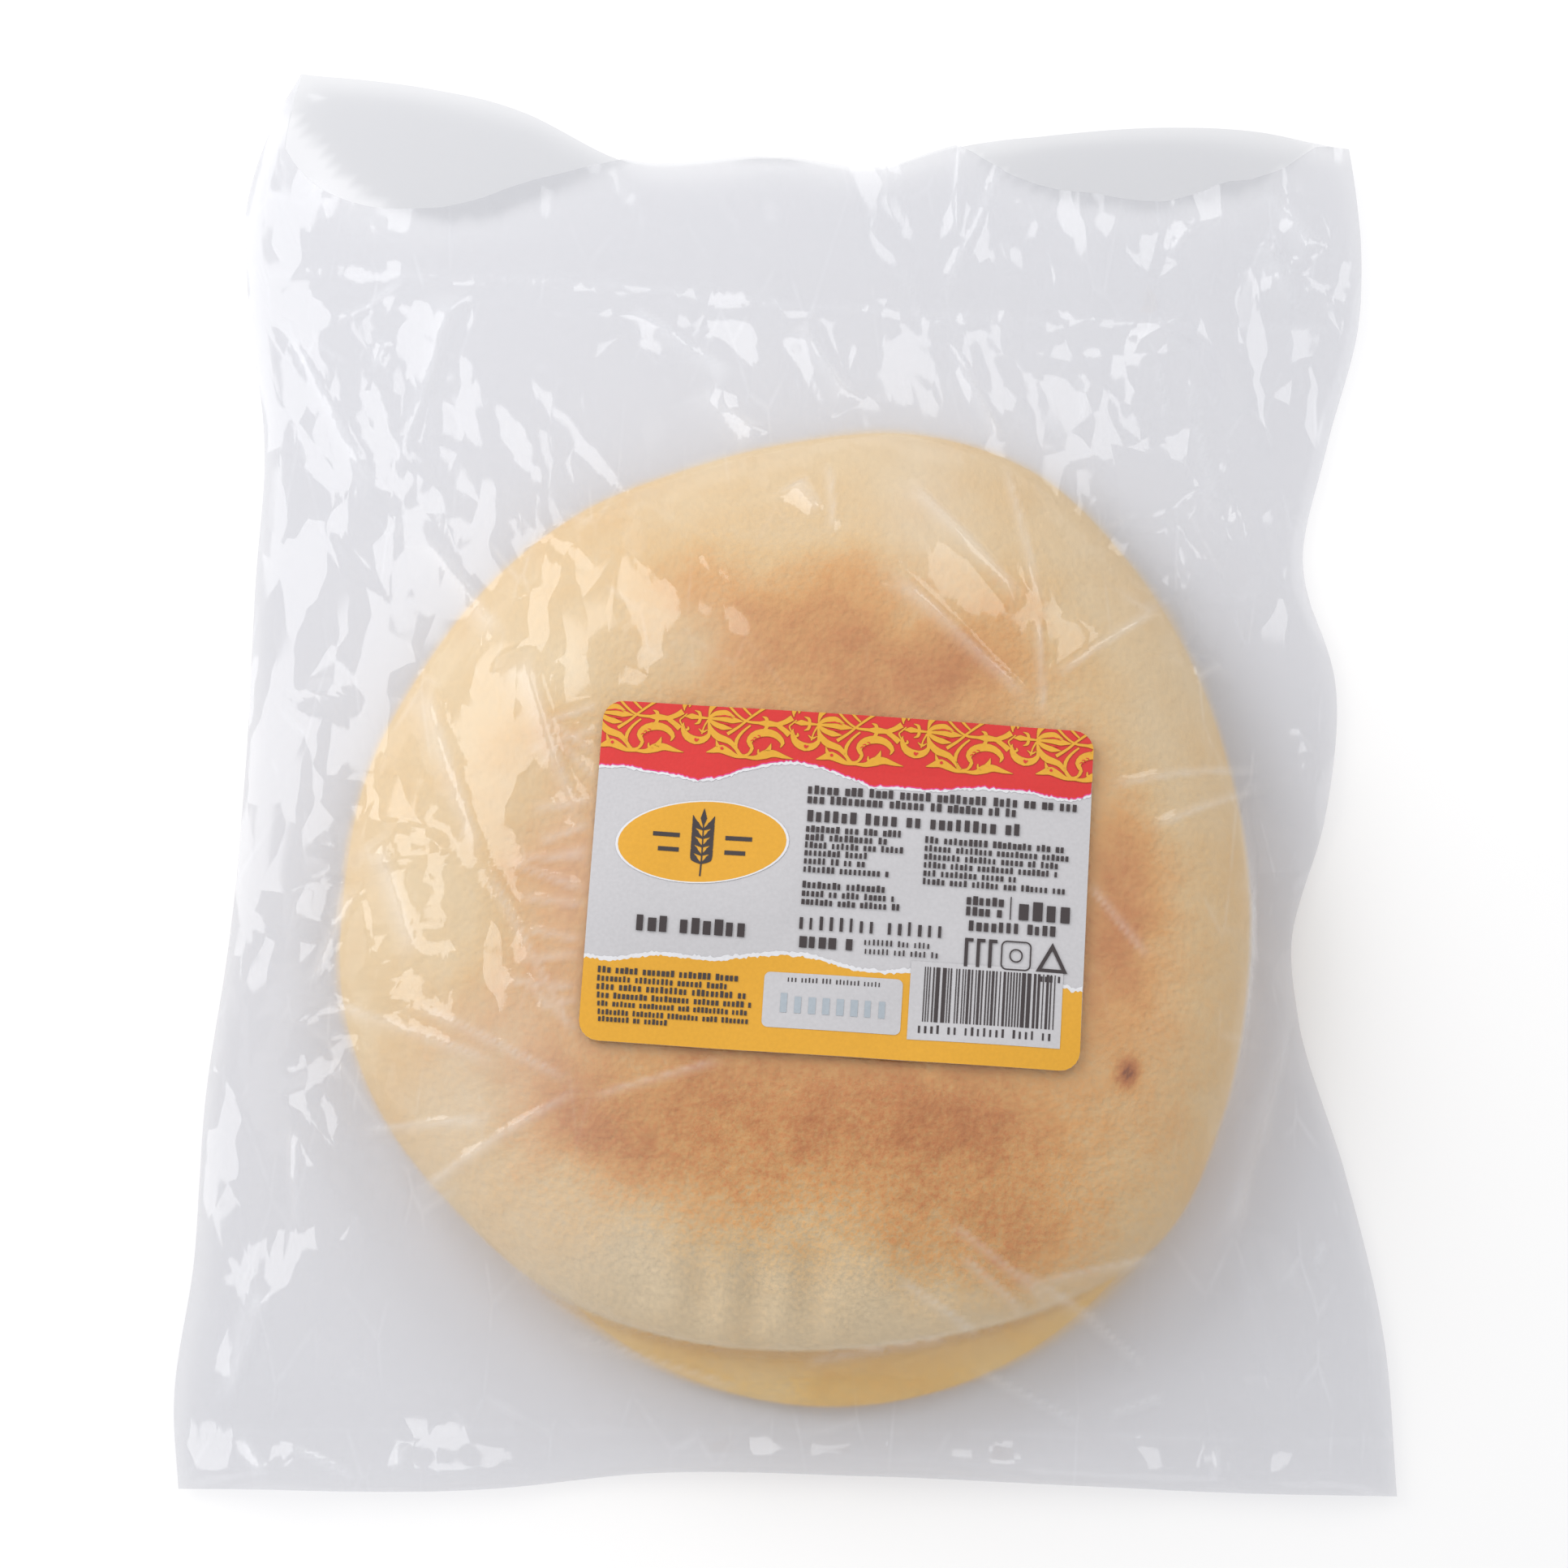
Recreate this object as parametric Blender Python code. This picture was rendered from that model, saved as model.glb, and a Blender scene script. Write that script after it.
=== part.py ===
"""Clear sealed film bag holding two stacked round flatbreads, with a paper label stuck on top.

The bag lies flat: X to the right, Y towards the open end of the bag, Z up. The origin is on the
table, under the middle of the bag. Lengths are in metres.
"""

import math

import bmesh
import bpy
import numpy as np
from mathutils import Vector

# Upper bread: the wider one, puffed, lying over the lower one. Its rim's distance from the middle
# is given every 15 degrees, turning left from +X
UPPER_CENTRE = (0.001, -0.030)
UPPER_RIM = (
    0.0935, 0.0935, 0.0960, 0.0998, 0.1040, 0.1025, 0.0970, 0.0935, 0.0930, 0.0918, 0.0910, 0.0925,
    0.0935, 0.0965, 0.0975, 0.0970, 0.0982, 0.0975, 0.0968, 0.0980, 0.1018, 0.1050, 0.1000, 0.0955,
)
UPPER_THICK = 0.0205

# Lower bread: a little smaller, showing past the upper one at the front
LOWER_CENTRE = (0.0080, -0.0515)
LOWER_RADII = (0.0840, 0.0880)
LOWER_THICK = 0.0145
LOWER_DROOP = (0.070, 0.130)

# Height of both breads' widest line, as a share of their thickness
RIM_HEIGHT = 0.26

# Outline of the lying bag: (along, across) pairs, one smooth curve for each edge
LEFT_EDGE = (
    (-0.1535, -0.1240), (-0.1390, -0.1255), (-0.1070, -0.1225), (-0.0730, -0.1215), (-0.0380, -0.1175),
    (0.0000, -0.1155), (0.0350, -0.1150), (0.0680, -0.1140), (0.1060, -0.1190), (0.1250, -0.1195),
    (0.1440, -0.1140), (0.1550, -0.1085),
)
RIGHT_EDGE = (
    (-0.1550, 0.1230), (-0.1230, 0.1215), (-0.0900, 0.1150), (-0.0560, 0.1060), (-0.0420, 0.1052),
    (-0.0150, 0.1130), (0.0150, 0.1165), (0.0410, 0.1105), (0.0680, 0.1165), (0.0970, 0.1245),
    (0.1150, 0.1255), (0.1365, 0.1235),
)
TOP_EDGE = (
    (-0.1085, 0.1550), (-0.0800, 0.1515), (-0.0580, 0.1455), (-0.0370, 0.1345), (0.0000, 0.1345),
    (0.0170, 0.1320), (0.0350, 0.1370), (0.0600, 0.1410), (0.1000, 0.1415), (0.1235, 0.1365),
)
BOTTOM_EDGE = (
    (-0.1240, -0.1535), (-0.0600, -0.1535), (-0.0300, -0.1505), (0.0150, -0.1510), (0.0600, -0.1530),
    (0.0950, -0.1545), (0.1230, -0.1550),
)

# Weld lines across the bag, and the flap of the open end beyond the upper one
TOP_SEAL = ((-0.118, 0.1075), (-0.045, 0.1055), (0.010, 0.0995), (0.125, 0.0945))
BOTTOM_SEAL = ((-0.124, -0.1420), (0.000, -0.1420), (0.124, -0.1445))
SEAL_REACH = 0.0055
LIP_DEPTH = 0.026
LIP_STEP = 0.0012

# Film heights over the table
FILM_COVER = 0.0005
EDGE_HEIGHT = 0.0034
SLACK_HEIGHT = 0.0066
SLACK_REACH = 0.024
BACK_LIFT = 0.0014
LEAST_WALL = 0.0013
LEAVES_RIM = 0.955
HANG_POWER = 1.3
HANG_FRONT = 0.6
CREASE_BLEND = 0.0011

# Paper label
LABEL_CENTRE = (0.0098, -0.0350)
LABEL_SIZE = (0.100, 0.070)
LABEL_TURN = math.radians(-3.7)
LABEL_CORNER = 0.004
LABEL_THICK = 0.0003
LABEL_GAP = 0.0006
LABEL_CALM = 0.010
LABEL_CELL = 0.007

# Folds of the film: start x y and end x y of the crest, then the flank's width at each end
FOLDS = (
    (-0.0722, 0.1038, -0.0840, 0.0585, 0.0095, 0.0008),
    (-0.0840, 0.1055, -0.0961, 0.0951, 0.0040, 0.0030),
    (-0.1099, 0.0955, -0.0883, 0.0548, 0.0035, 0.0055),
    (-0.0779, 0.0450, -0.0594, 0.0192, 0.0060, 0.0075),
    (-0.0560, 0.0150, -0.0422, -0.0226, 0.0100, 0.0015),
    (-0.0771, 0.0115, -0.0620, -0.0305, 0.0085, 0.0040),
    (-0.0613, -0.0310, -0.0430, -0.0651, 0.0040, 0.0020),
    (-0.0843, -0.0243, -0.0750, -0.0498, 0.0075, 0.0055),
    (-0.0898, -0.0334, -0.0981, -0.0526, 0.0065, 0.0015),
    (-0.0763, -0.0582, -0.0431, -0.0750, 0.0045, 0.0030),
    (-0.0962, -0.0555, -0.0580, -0.0715, 0.0050, 0.0035),
    (-0.0875, -0.0826, -0.0596, -0.0817, 0.0045, 0.0040),
    (-0.0768, -0.0962, -0.0417, -0.0760, 0.0050, 0.0030),
    (-0.1061, -0.1137, -0.1147, -0.1375, 0.0085, 0.0050),
    (-0.0349, 0.0992, -0.0120, 0.0825, 0.0050, 0.0075),
    (-0.0198, 0.0800, -0.0066, 0.0662, 0.0100, 0.0090),
    (0.0021, 0.0950, 0.0135, 0.0746, 0.0055, 0.0075),
    (0.0011, 0.0535, 0.0066, 0.0457, 0.0090, 0.0050),
    (0.0249, 0.0528, 0.0482, 0.0257, 0.0050, 0.0045),
    (0.0461, 0.0590, 0.0520, -0.0010, 0.0030, 0.0030),
    (0.0355, 0.0910, 0.0448, 0.0665, 0.0030, 0.0045),
    (0.0478, 0.1347, 0.0330, 0.0994, 0.0035, 0.0025),
    (0.0859, 0.0821, 0.0917, 0.0502, 0.0040, 0.0055),
    (0.1048, 0.1257, 0.1160, 0.1125, 0.0060, 0.0080),
    (0.1045, 0.1143, 0.1111, 0.0983, 0.0080, 0.0060),
    (0.0212, 0.0304, 0.0494, 0.0033, 0.0050, 0.0040),
    (0.0992, -0.0065, 0.0649, -0.0145, 0.0040, 0.0030),
    (0.1040, -0.0568, 0.0892, -0.1057, 0.0055, 0.0055),
)
FOLD_SLOPE = 0.30
FOLD_STEEP = 0.45
FOLD_END = 0.22

# Crumpled facets of the slack film: (spacing, height, seed)
CRUMPLE = ((0.027, 0.0022, 11), (0.0135, 0.0010, 23))
CRUMPLE_WARP = 0.45

GRID = (150, 182)
BAG_FACES = 9600
MERGE = 1e-6
FLAT_ANGLE = 0.01


def curve_through(points, at):
    """Smooth curve through (along, across) points, read at the given places along it."""
    knots = np.array(points, float)
    along, across = knots[:, 0], knots[:, 1]
    slope = np.gradient(across, along)
    i = np.clip(np.searchsorted(along, at) - 1, 0, len(along) - 2)
    span = along[i + 1] - along[i]
    t = np.clip((at - along[i]) / span, 0.0, 1.0)
    start = (2 * t**3 - 3 * t**2 + 1) * across[i] + (t**3 - 2 * t**2 + t) * span * slope[i]
    end = (-2 * t**3 + 3 * t**2) * across[i + 1] + (t**3 - t**2) * span * slope[i + 1]
    return start + end


def smooth(low, high, value):
    """0 below low, 1 above high, and a soft step between them."""
    t = np.clip((value - low) / (high - low), 0.0, 1.0)
    return t * t * (3 - 2 * t)


def soft_max(a, b, width):
    """The larger of a and b, rounded where they cross."""
    return (a + b + np.sqrt((a - b) ** 2 + width**2)) / 2


def edge_point(points, share, swap):
    """Points (x, y) along an outline edge, at shares of its length from 0 to 1."""
    along = points[0][0] + share * (points[-1][0] - points[0][0])
    across = curve_through(points, along)
    return (across, along) if swap else (along, across)


def bag_plan(s, t):
    """Plan position of the film at shares s across and t along the bag: a patch between its edges."""
    left_x, left_y = edge_point(LEFT_EDGE, t, True)
    right_x, right_y = edge_point(RIGHT_EDGE, t, True)
    low_x, low_y = edge_point(BOTTOM_EDGE, s, False)
    high_x, high_y = edge_point(TOP_EDGE, s, False)
    corners = [Vector(e[k]) for e in (BOTTOM_EDGE, TOP_EDGE) for k in (0, -1)]
    plan = []
    for axis, sides in enumerate(((left_x, right_x, low_x, high_x), (left_y, right_y, low_y, high_y))):
        a, b, c, d = (corner[axis] for corner in corners)
        flat = (1 - s) * (1 - t) * a + s * (1 - t) * b + (1 - s) * t * c + s * t * d
        plan.append((1 - s) * sides[0] + s * sides[1] + (1 - t) * sides[2] + t * sides[3] - flat)
    return plan


def lower_reach(x, y):
    """Distance from the lower bread's middle as a share of its radius."""
    return np.hypot((x - LOWER_CENTRE[0]) / LOWER_RADII[0], (y - LOWER_CENTRE[1]) / LOWER_RADII[1])


def upper_reach(x, y):
    """Distance from the upper bread's middle as a share of its uneven radius."""
    dx, dy = x - UPPER_CENTRE[0], y - UPPER_CENTRE[1]
    place = np.arctan2(dy, dx) / (2 * math.pi) * len(UPPER_RIM) % len(UPPER_RIM)
    step = np.floor(place).astype(int)
    t = place - step
    rim = np.array(UPPER_RIM)
    a, b, c, d = (rim[(step + k) % len(UPPER_RIM)] for k in (-1, 0, 1, 2))
    radius = b + t * (c - a + t * (2 * a - 5 * b + 4 * c - d + t * (3 * b - a - 3 * c + d))) / 2
    return np.hypot(dx, dy) / radius


def loaf_profile(r):
    """Top of a puffed flatbread over its rim line: a low dome with a full round shoulder."""
    inside = np.clip(r, 0.0, 1.0)
    dome = 0.78 * np.sqrt(1 - inside**6) + 0.22 * (1 - inside**2)
    return RIM_HEIGHT + (1 - RIM_HEIGHT) * dome


def upper_base(x, y):
    """Underside of the upper bread, which lies on the lower one and droops past it."""
    r = lower_reach(x, y) * LOWER_RADII[0]
    return FILM_COVER + (LOWER_THICK - FILM_COVER) * (1 - smooth(*LOWER_DROOP, r))


def edge_room(x, y):
    """How far the film is from the nearest side fold or weld line."""
    top = curve_through(TOP_SEAL, np.clip(x, TOP_SEAL[0][0], TOP_SEAL[-1][0])) - y
    bottom = y - curve_through(BOTTOM_SEAL, np.clip(x, BOTTOM_SEAL[0][0], BOTTOM_SEAL[-1][0]))
    return np.maximum(np.minimum(side_room(x, y), np.minimum(top, bottom)), 0.0)


def hung_film(x, y):
    """Film that leaves the upper bread's rim and runs down to the bag's edges and welds."""
    r = np.maximum(upper_reach(x, y), LEAVES_RIM)
    out_x, out_y = x - UPPER_CENTRE[0], y - UPPER_CENTRE[1]
    rim_x = UPPER_CENTRE[0] + out_x * LEAVES_RIM / r
    rim_y = UPPER_CENTRE[1] + out_y * LEAVES_RIM / r
    crown = upper_base(rim_x, rim_y) + UPPER_THICK * loaf_profile(LEAVES_RIM)
    distance = np.maximum(np.hypot(out_x, out_y), 1e-6)
    away = distance * (1 - LEAVES_RIM / r)
    room = edge_room(x, y)
    share = room / np.maximum(room + away, 1e-6)
    forward = np.clip(-out_y / distance, 0.0, 1.0)
    power = HANG_POWER + HANG_FRONT * forward**2
    return EDGE_HEIGHT + (crown - EDGE_HEIGHT) * share**power


def facets(x, y, spacing, seed):
    """Crumpled sheet of flat facets with straight creases, from -1 to 1."""
    random = np.random.RandomState(seed)
    heights = random.uniform(-1, 1, (64, 64))
    u = (x - y / math.sqrt(3)) / spacing
    v = 2 * y / math.sqrt(3) / spacing
    column, row = np.floor(u).astype(int), np.floor(v).astype(int)
    a, b = u - column, v - row

    def corner(i, j):
        return heights[(column + i) % 64, (row + j) % 64]

    low = (1 - a - b) * corner(0, 0) + a * corner(1, 0) + b * corner(0, 1)
    high = (a + b - 1) * corner(1, 1) + (1 - a) * corner(0, 1) + (1 - b) * corner(1, 0)
    return np.where(a + b <= 1, low, high)


def crumple(x, y):
    """Sum of the facet sizes, each one's creases bent by the next."""
    total = np.zeros_like(x)
    for spacing, height, seed in CRUMPLE:
        shift = CRUMPLE_WARP * spacing
        bent_x = x + shift * facets(x, y, 1.7 * spacing, seed + 1)
        bent_y = y + shift * facets(x, y, 1.7 * spacing, seed + 2)
        total = total + height * facets(bent_x, bent_y, spacing, seed)
    return total


def fold_height(x, y, fold):
    """One straight fold: a broad flat flank, a sharp crest and a steep flank, ramped at both ends."""
    x0, y0, x1, y1, start_width, end_width = fold
    run_x, run_y = x1 - x0, y1 - y0
    length = math.hypot(run_x, run_y)
    u = ((x - x0) * run_x + (y - y0) * run_y) / length**2
    side = ((y - y0) * run_x - (x - x0) * run_y) / length
    width = start_width + (end_width - start_width) * np.clip(u, 0.0, 1.0)
    across = np.where(side < 0, 1 + side / width, 1 - side / (FOLD_STEEP * width))
    ends = np.minimum((u + 0.05) / FOLD_END, (1.05 - u) / FOLD_END)
    return FOLD_SLOPE * width * np.clip(np.minimum(across, ends), 0.0, 1.0)


def label_share(x, y):
    """1 under the label, falling to 0 a little way outside its edge."""
    dx, dy = x - LABEL_CENTRE[0], y - LABEL_CENTRE[1]
    along = dx * math.cos(LABEL_TURN) + dy * math.sin(LABEL_TURN)
    across = -dx * math.sin(LABEL_TURN) + dy * math.cos(LABEL_TURN)
    out = np.maximum(np.abs(along) - LABEL_SIZE[0] / 2, np.abs(across) - LABEL_SIZE[1] / 2)
    return 1 - smooth(0.001, LABEL_CALM, out)


def side_room(x, y):
    """How far the film is from the nearer side fold."""
    left = curve_through(LEFT_EDGE, np.clip(y, LEFT_EDGE[0][0], LEFT_EDGE[-1][0]))
    right = curve_through(RIGHT_EDGE, np.clip(y, RIGHT_EDGE[0][0], RIGHT_EDGE[-1][0]))
    return np.maximum(np.minimum(x - left, right - x), 0.0)


def weld_pinch(x, y):
    """1 on a weld line, where both films are melted together, falling to 0 beside it."""
    share = np.zeros_like(x)
    for seal in (TOP_SEAL, BOTTOM_SEAL):
        line = curve_through(seal, np.clip(x, seal[0][0], seal[-1][0]))
        share = np.maximum(share, np.exp(-(((y - line) / SEAL_REACH) ** 2)))
    return share


def bread_cover(x, y):
    """Film over the two breads, lying on them and hanging from the upper one's rim."""
    r = upper_reach(x, y)
    upper = np.where(r < 1, upper_base(x, y) + UPPER_THICK * loaf_profile(r), 0.0)
    under = lower_reach(x, y)
    lower = np.where(under < 1, LOWER_THICK * loaf_profile(under), 0.0)
    return np.maximum(np.maximum(upper, lower), hung_film(x, y)) + FILM_COVER


def back_film(x, y, t):
    """Underside of the bag: flat on the table under the breads, lifting a little towards its edges."""
    rest = smooth(1.02, 1.30, lower_reach(x, y))
    wave = 0.5 + 0.5 * np.sin(55 * x + 1.0) * np.cos(48 * y + 0.6)
    return rest * (BACK_LIFT * wave + 0.0006 + 0.002 * smooth(0.90, 1.0, t))


def front_film(x, y, t):
    """Upper face of the bag: the cover over the breads, the slack film round it, folds and crumples."""
    pinch = weld_pinch(x, y)
    puff = smooth(0.0, SLACK_REACH, side_room(x, y))
    broad = 1 + 0.22 * np.sin(38 * x + 0.4) * np.sin(31 * y + 1.1)
    slack = EDGE_HEIGHT + (SLACK_HEIGHT - EDGE_HEIGHT) * puff * broad
    slack = slack * (1 - 0.45 * pinch)
    film = soft_max(slack, bread_cover(x, y), CREASE_BLEND)
    loose = 1 - label_share(x, y)
    on_bread = 1 - smooth(0.90, 1.15, upper_reach(x, y))
    rough = crumple(x, y) * (1 - on_bread) * (0.35 + 0.65 * puff) * (1 - 0.5 * pinch)
    folds = np.zeros_like(x)
    for fold in FOLDS:
        folds = np.maximum(folds, fold_height(x, y, fold))
    film = film + loose * (folds * (1 - 0.6 * pinch) + rough)
    high = curve_through(TOP_EDGE, np.clip(x, TOP_EDGE[0][0], TOP_EDGE[-1][0]))
    middle = np.clip(np.sin(math.pi * (x - TOP_EDGE[0][0]) / (TOP_EDGE[-1][0] - TOP_EDGE[0][0])), 0, 1)
    lip = high - LIP_DEPTH * middle**0.5
    return film - LIP_STEP * smooth(-0.0015, 0.0015, y - lip) * smooth(0.0, 0.2, middle)


def clear_scene():
    for obj in list(bpy.data.objects):
        bpy.data.objects.remove(obj, do_unlink=True)


def new_collection(name):
    collection = bpy.data.collections.new(name)
    bpy.context.scene.collection.children.link(collection)
    return collection


def make_material(name, colour, roughness, metallic=0.0, alpha=1.0):
    material = bpy.data.materials.new(name)
    material.use_nodes = True
    shader = material.node_tree.nodes["Principled BSDF"]
    shader.inputs["Base Color"].default_value = (*colour, 1.0)
    shader.inputs["Roughness"].default_value = roughness
    shader.inputs["Metallic"].default_value = metallic
    shader.inputs["Alpha"].default_value = alpha
    return material


def add_mesh_object(name, form, collection, material):
    mesh = bpy.data.meshes.new(name)
    form.to_mesh(mesh)
    form.free()
    mesh.materials.append(material)
    obj = bpy.data.objects.new(name, mesh)
    collection.objects.link(obj)
    return obj


def grid_sheet(form, height_at):
    """A flat grid in the bag's outline, lifted to height_at(x, y, t). Returns its outer edges."""
    before = set(form.verts)
    bmesh.ops.create_grid(form, x_segments=GRID[0], y_segments=GRID[1], size=0.5)
    verts = [v for v in form.verts if v not in before]
    flat = np.array([v.co[:2] for v in verts]) + 0.5
    x, y = bag_plan(flat[:, 0], flat[:, 1])
    z = height_at(x, y, flat[:, 1])
    for vert, place in zip(verts, np.column_stack((x, y, z))):
        vert.co = Vector(place)
    own = set(verts)
    return [e for e in form.edges if e.is_boundary and e.verts[0] in own]


def build_bag(collection, material):
    """The bag as one closed solid: both films and all that is between them."""
    form = bmesh.new()
    front = grid_sheet(form, lambda x, y, t: np.maximum(
        front_film(x, y, t), back_film(x, y, t) + LEAST_WALL))
    back = grid_sheet(form, back_film)
    bmesh.ops.bridge_loops(form, edges=front + back)
    bmesh.ops.recalc_face_normals(form, faces=form.faces[:])
    bag = add_mesh_object("bag", form, collection, material)
    thin = bag.modifiers.new("fewer faces", "DECIMATE")
    thin.ratio = BAG_FACES / (4 * GRID[0] * GRID[1])
    thin.use_collapse_triangulate = True
    return bag


def rounded_rectangle(size, corner, steps=5):
    """Outline points of a rectangle with round corners, about its middle."""
    points = []
    for quarter in range(4):
        middle = math.pi / 2 * quarter + math.pi / 4
        x = math.copysign(size[0] / 2 - corner, math.cos(middle))
        y = math.copysign(size[1] / 2 - corner, math.sin(middle))
        for step in range(steps + 1):
            angle = math.pi / 2 * (quarter + step / steps)
            points.append((x + corner * math.cos(angle), y + corner * math.sin(angle)))
    return points


def flat_label():
    """The label while still flat: an extruded outline, as a mesh."""
    outline = rounded_rectangle(LABEL_SIZE, LABEL_CORNER)
    curve = bpy.data.curves.new("label outline", "CURVE")
    curve.dimensions = "2D"
    curve.fill_mode = "BOTH"
    curve.extrude = LABEL_THICK / 2
    spline = curve.splines.new("POLY")
    spline.points.add(len(outline) - 1)
    for point, (x, y) in zip(spline.points, outline):
        point.co = (x, y, 0.0, 1.0)
    spline.use_cyclic_u = True
    guide = bpy.data.objects.new("label outline", curve)
    bpy.context.scene.collection.objects.link(guide)
    bpy.context.view_layer.update()
    evaluated = guide.evaluated_get(bpy.context.evaluated_depsgraph_get())
    mesh = bpy.data.meshes.new_from_object(evaluated)
    bpy.data.objects.remove(guide, do_unlink=True)
    return mesh


def cut_in_cells(form, size, cell):
    """Cuts the flat form along a square grid, so that it can bend."""
    for axis, direction in enumerate(((1, 0, 0), (0, 1, 0))):
        count = round(size[axis] / cell)
        for k in range(1, count):
            place = Vector((0, 0, 0))
            place[axis] = -size[axis] / 2 + k * size[axis] / count
            everything = form.verts[:] + form.edges[:] + form.faces[:]
            bmesh.ops.bisect_plane(form, geom=everything, dist=MERGE, plane_co=place, plane_no=direction)


def build_label(collection, material):
    """The paper label, bent to the film that it is stuck to."""
    flat = flat_label()
    form = bmesh.new()
    form.from_mesh(flat)
    bpy.data.meshes.remove(flat)
    bmesh.ops.remove_doubles(form, verts=form.verts[:], dist=MERGE)
    bmesh.ops.dissolve_limit(form, angle_limit=FLAT_ANGLE, verts=form.verts[:], edges=form.edges[:])
    cut_in_cells(form, LABEL_SIZE, LABEL_CELL)
    bmesh.ops.triangulate(form, faces=form.faces[:])
    cosine, sine = math.cos(LABEL_TURN), math.sin(LABEL_TURN)
    for vert in form.verts:
        x = LABEL_CENTRE[0] + vert.co.x * cosine - vert.co.y * sine
        y = LABEL_CENTRE[1] + vert.co.x * sine + vert.co.y * cosine
        under = float(bread_cover(np.array([x]), np.array([y]))[0])
        vert.co = Vector((x, y, under + LABEL_GAP + LABEL_THICK / 2 + vert.co.z))
    bmesh.ops.recalc_face_normals(form, faces=form.faces[:])
    return add_mesh_object("label", form, collection, material)


def main():
    clear_scene()
    parts = new_collection("bagged flatbread")
    film = make_material("clear film over bread", (0.80, 0.62, 0.42), 0.18, alpha=0.9)
    paper = make_material("printed paper", (0.86, 0.83, 0.80), 0.45)
    build_bag(parts, film)
    build_label(parts, paper)


main()
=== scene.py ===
"""Two round pocket breads in a clear crumpled film bag, with a printed paper label on the film."""
import math

import bmesh
import bpy
import numpy as np
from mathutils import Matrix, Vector


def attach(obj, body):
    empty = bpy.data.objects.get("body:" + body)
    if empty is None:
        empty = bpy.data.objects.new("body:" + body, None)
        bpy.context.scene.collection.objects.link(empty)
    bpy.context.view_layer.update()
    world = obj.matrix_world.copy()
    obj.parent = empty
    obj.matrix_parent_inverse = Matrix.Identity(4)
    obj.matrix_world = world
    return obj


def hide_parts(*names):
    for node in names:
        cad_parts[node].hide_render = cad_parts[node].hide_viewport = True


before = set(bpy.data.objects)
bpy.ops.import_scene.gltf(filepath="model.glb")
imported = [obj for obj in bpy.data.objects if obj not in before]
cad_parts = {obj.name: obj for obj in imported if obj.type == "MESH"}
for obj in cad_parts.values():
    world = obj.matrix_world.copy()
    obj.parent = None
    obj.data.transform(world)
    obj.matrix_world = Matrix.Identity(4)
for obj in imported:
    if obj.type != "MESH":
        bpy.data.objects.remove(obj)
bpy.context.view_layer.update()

# Lower bread: a round flatbread of wheat dough, baked until it puffs into a pocket. It lies on the
# bottom film, is a little smaller than the one on top of it, and shows as a crescent at the front.
LOWER_CENTRE = (0.0085, -0.0580)
LOWER_RADII = (0.0785, 0.0790)
LOWER_THICK = 0.0145
TABLE_GAP = 0.0006
RIM_HEIGHT = 0.26
SHOULDER = 0.78
RIM_CROWDING = 0.62
BREAD_CUTS = 84
MOST_TOAST = 1.3
LOWER_CRUST = ((0.0, (0.92, 0.68, 0.34)), (0.45, (0.92, 0.58, 0.19)), (1.0, (0.80, 0.40, 0.09)))


def soft_step(low, high, value):
    """0 below low, 1 above high, and a soft step between them."""
    t = np.clip((value - low) / (high - low), 0.0, 1.0)
    return t * t * (3 - 2 * t)


def soft_noise(x, y, size, seed):
    """Smooth hills of about the given size, from -1 to 1."""
    heights = np.random.RandomState(seed).uniform(-1, 1, (64, 64))
    u, v = x / size + 7.3, y / size + 3.1
    column, row = np.floor(u).astype(int), np.floor(v).astype(int)
    a, b = u - column, v - row
    a, b = a * a * (3 - 2 * a), b * b * (3 - 2 * b)

    def corner(i, j):
        return heights[(column + i) % 64, (row + j) % 64]

    return ((1 - a) * (1 - b) * corner(0, 0) + a * (1 - b) * corner(1, 0)
            + (1 - a) * b * corner(0, 1) + a * b * corner(1, 1))


def lower_reach(x, y):
    """Distance from the lower bread's middle as a share of its radius."""
    return np.hypot((x - LOWER_CENTRE[0]) / LOWER_RADII[0], (y - LOWER_CENTRE[1]) / LOWER_RADII[1])


def loaf_profile(r):
    """Crust of a puffed flatbread: a low dome with a full round shoulder down to its rim line."""
    inside = np.clip(r, 0.0, 1.0)
    dome = SHOULDER * np.sqrt(1 - inside**6) + (1 - SHOULDER) * (1 - inside**2)
    return RIM_HEIGHT + (1 - RIM_HEIGHT) * dome


def lower_top(x, y, room=0.0):
    """Upper crust of the lower bread, or of one that is wider by the share room."""
    r = lower_reach(x, y) / (1 + room)
    swell = 0.0005 * soft_noise(x, y, 0.021, 4) * (1 - np.clip(r, 0, 1) ** 6)
    return TABLE_GAP + LOWER_THICK * loaf_profile(r) + swell


def lower_under(x, y):
    """Under crust of the lower bread, flat on the bottom film."""
    r = np.clip(lower_reach(x, y), 0.0, 1.0)
    return TABLE_GAP + RIM_HEIGHT * LOWER_THICK * (1 - np.sqrt(1 - r**8))


def read_points(piece):
    """The piece's vertices as an array, one row each."""
    flat = np.empty(len(piece.data.vertices) * 3)
    piece.data.vertices.foreach_get("co", flat)
    return flat.reshape(-1, 3)


def write_points(piece, points):
    piece.data.vertices.foreach_set("co", points.ravel())
    piece.data.update()


def paint(piece, name, values):
    """A number for each vertex, which the piece's material reads by its name."""
    piece.data.attributes.new(name, "FLOAT", "POINT").data.foreach_set("value", values)


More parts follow.
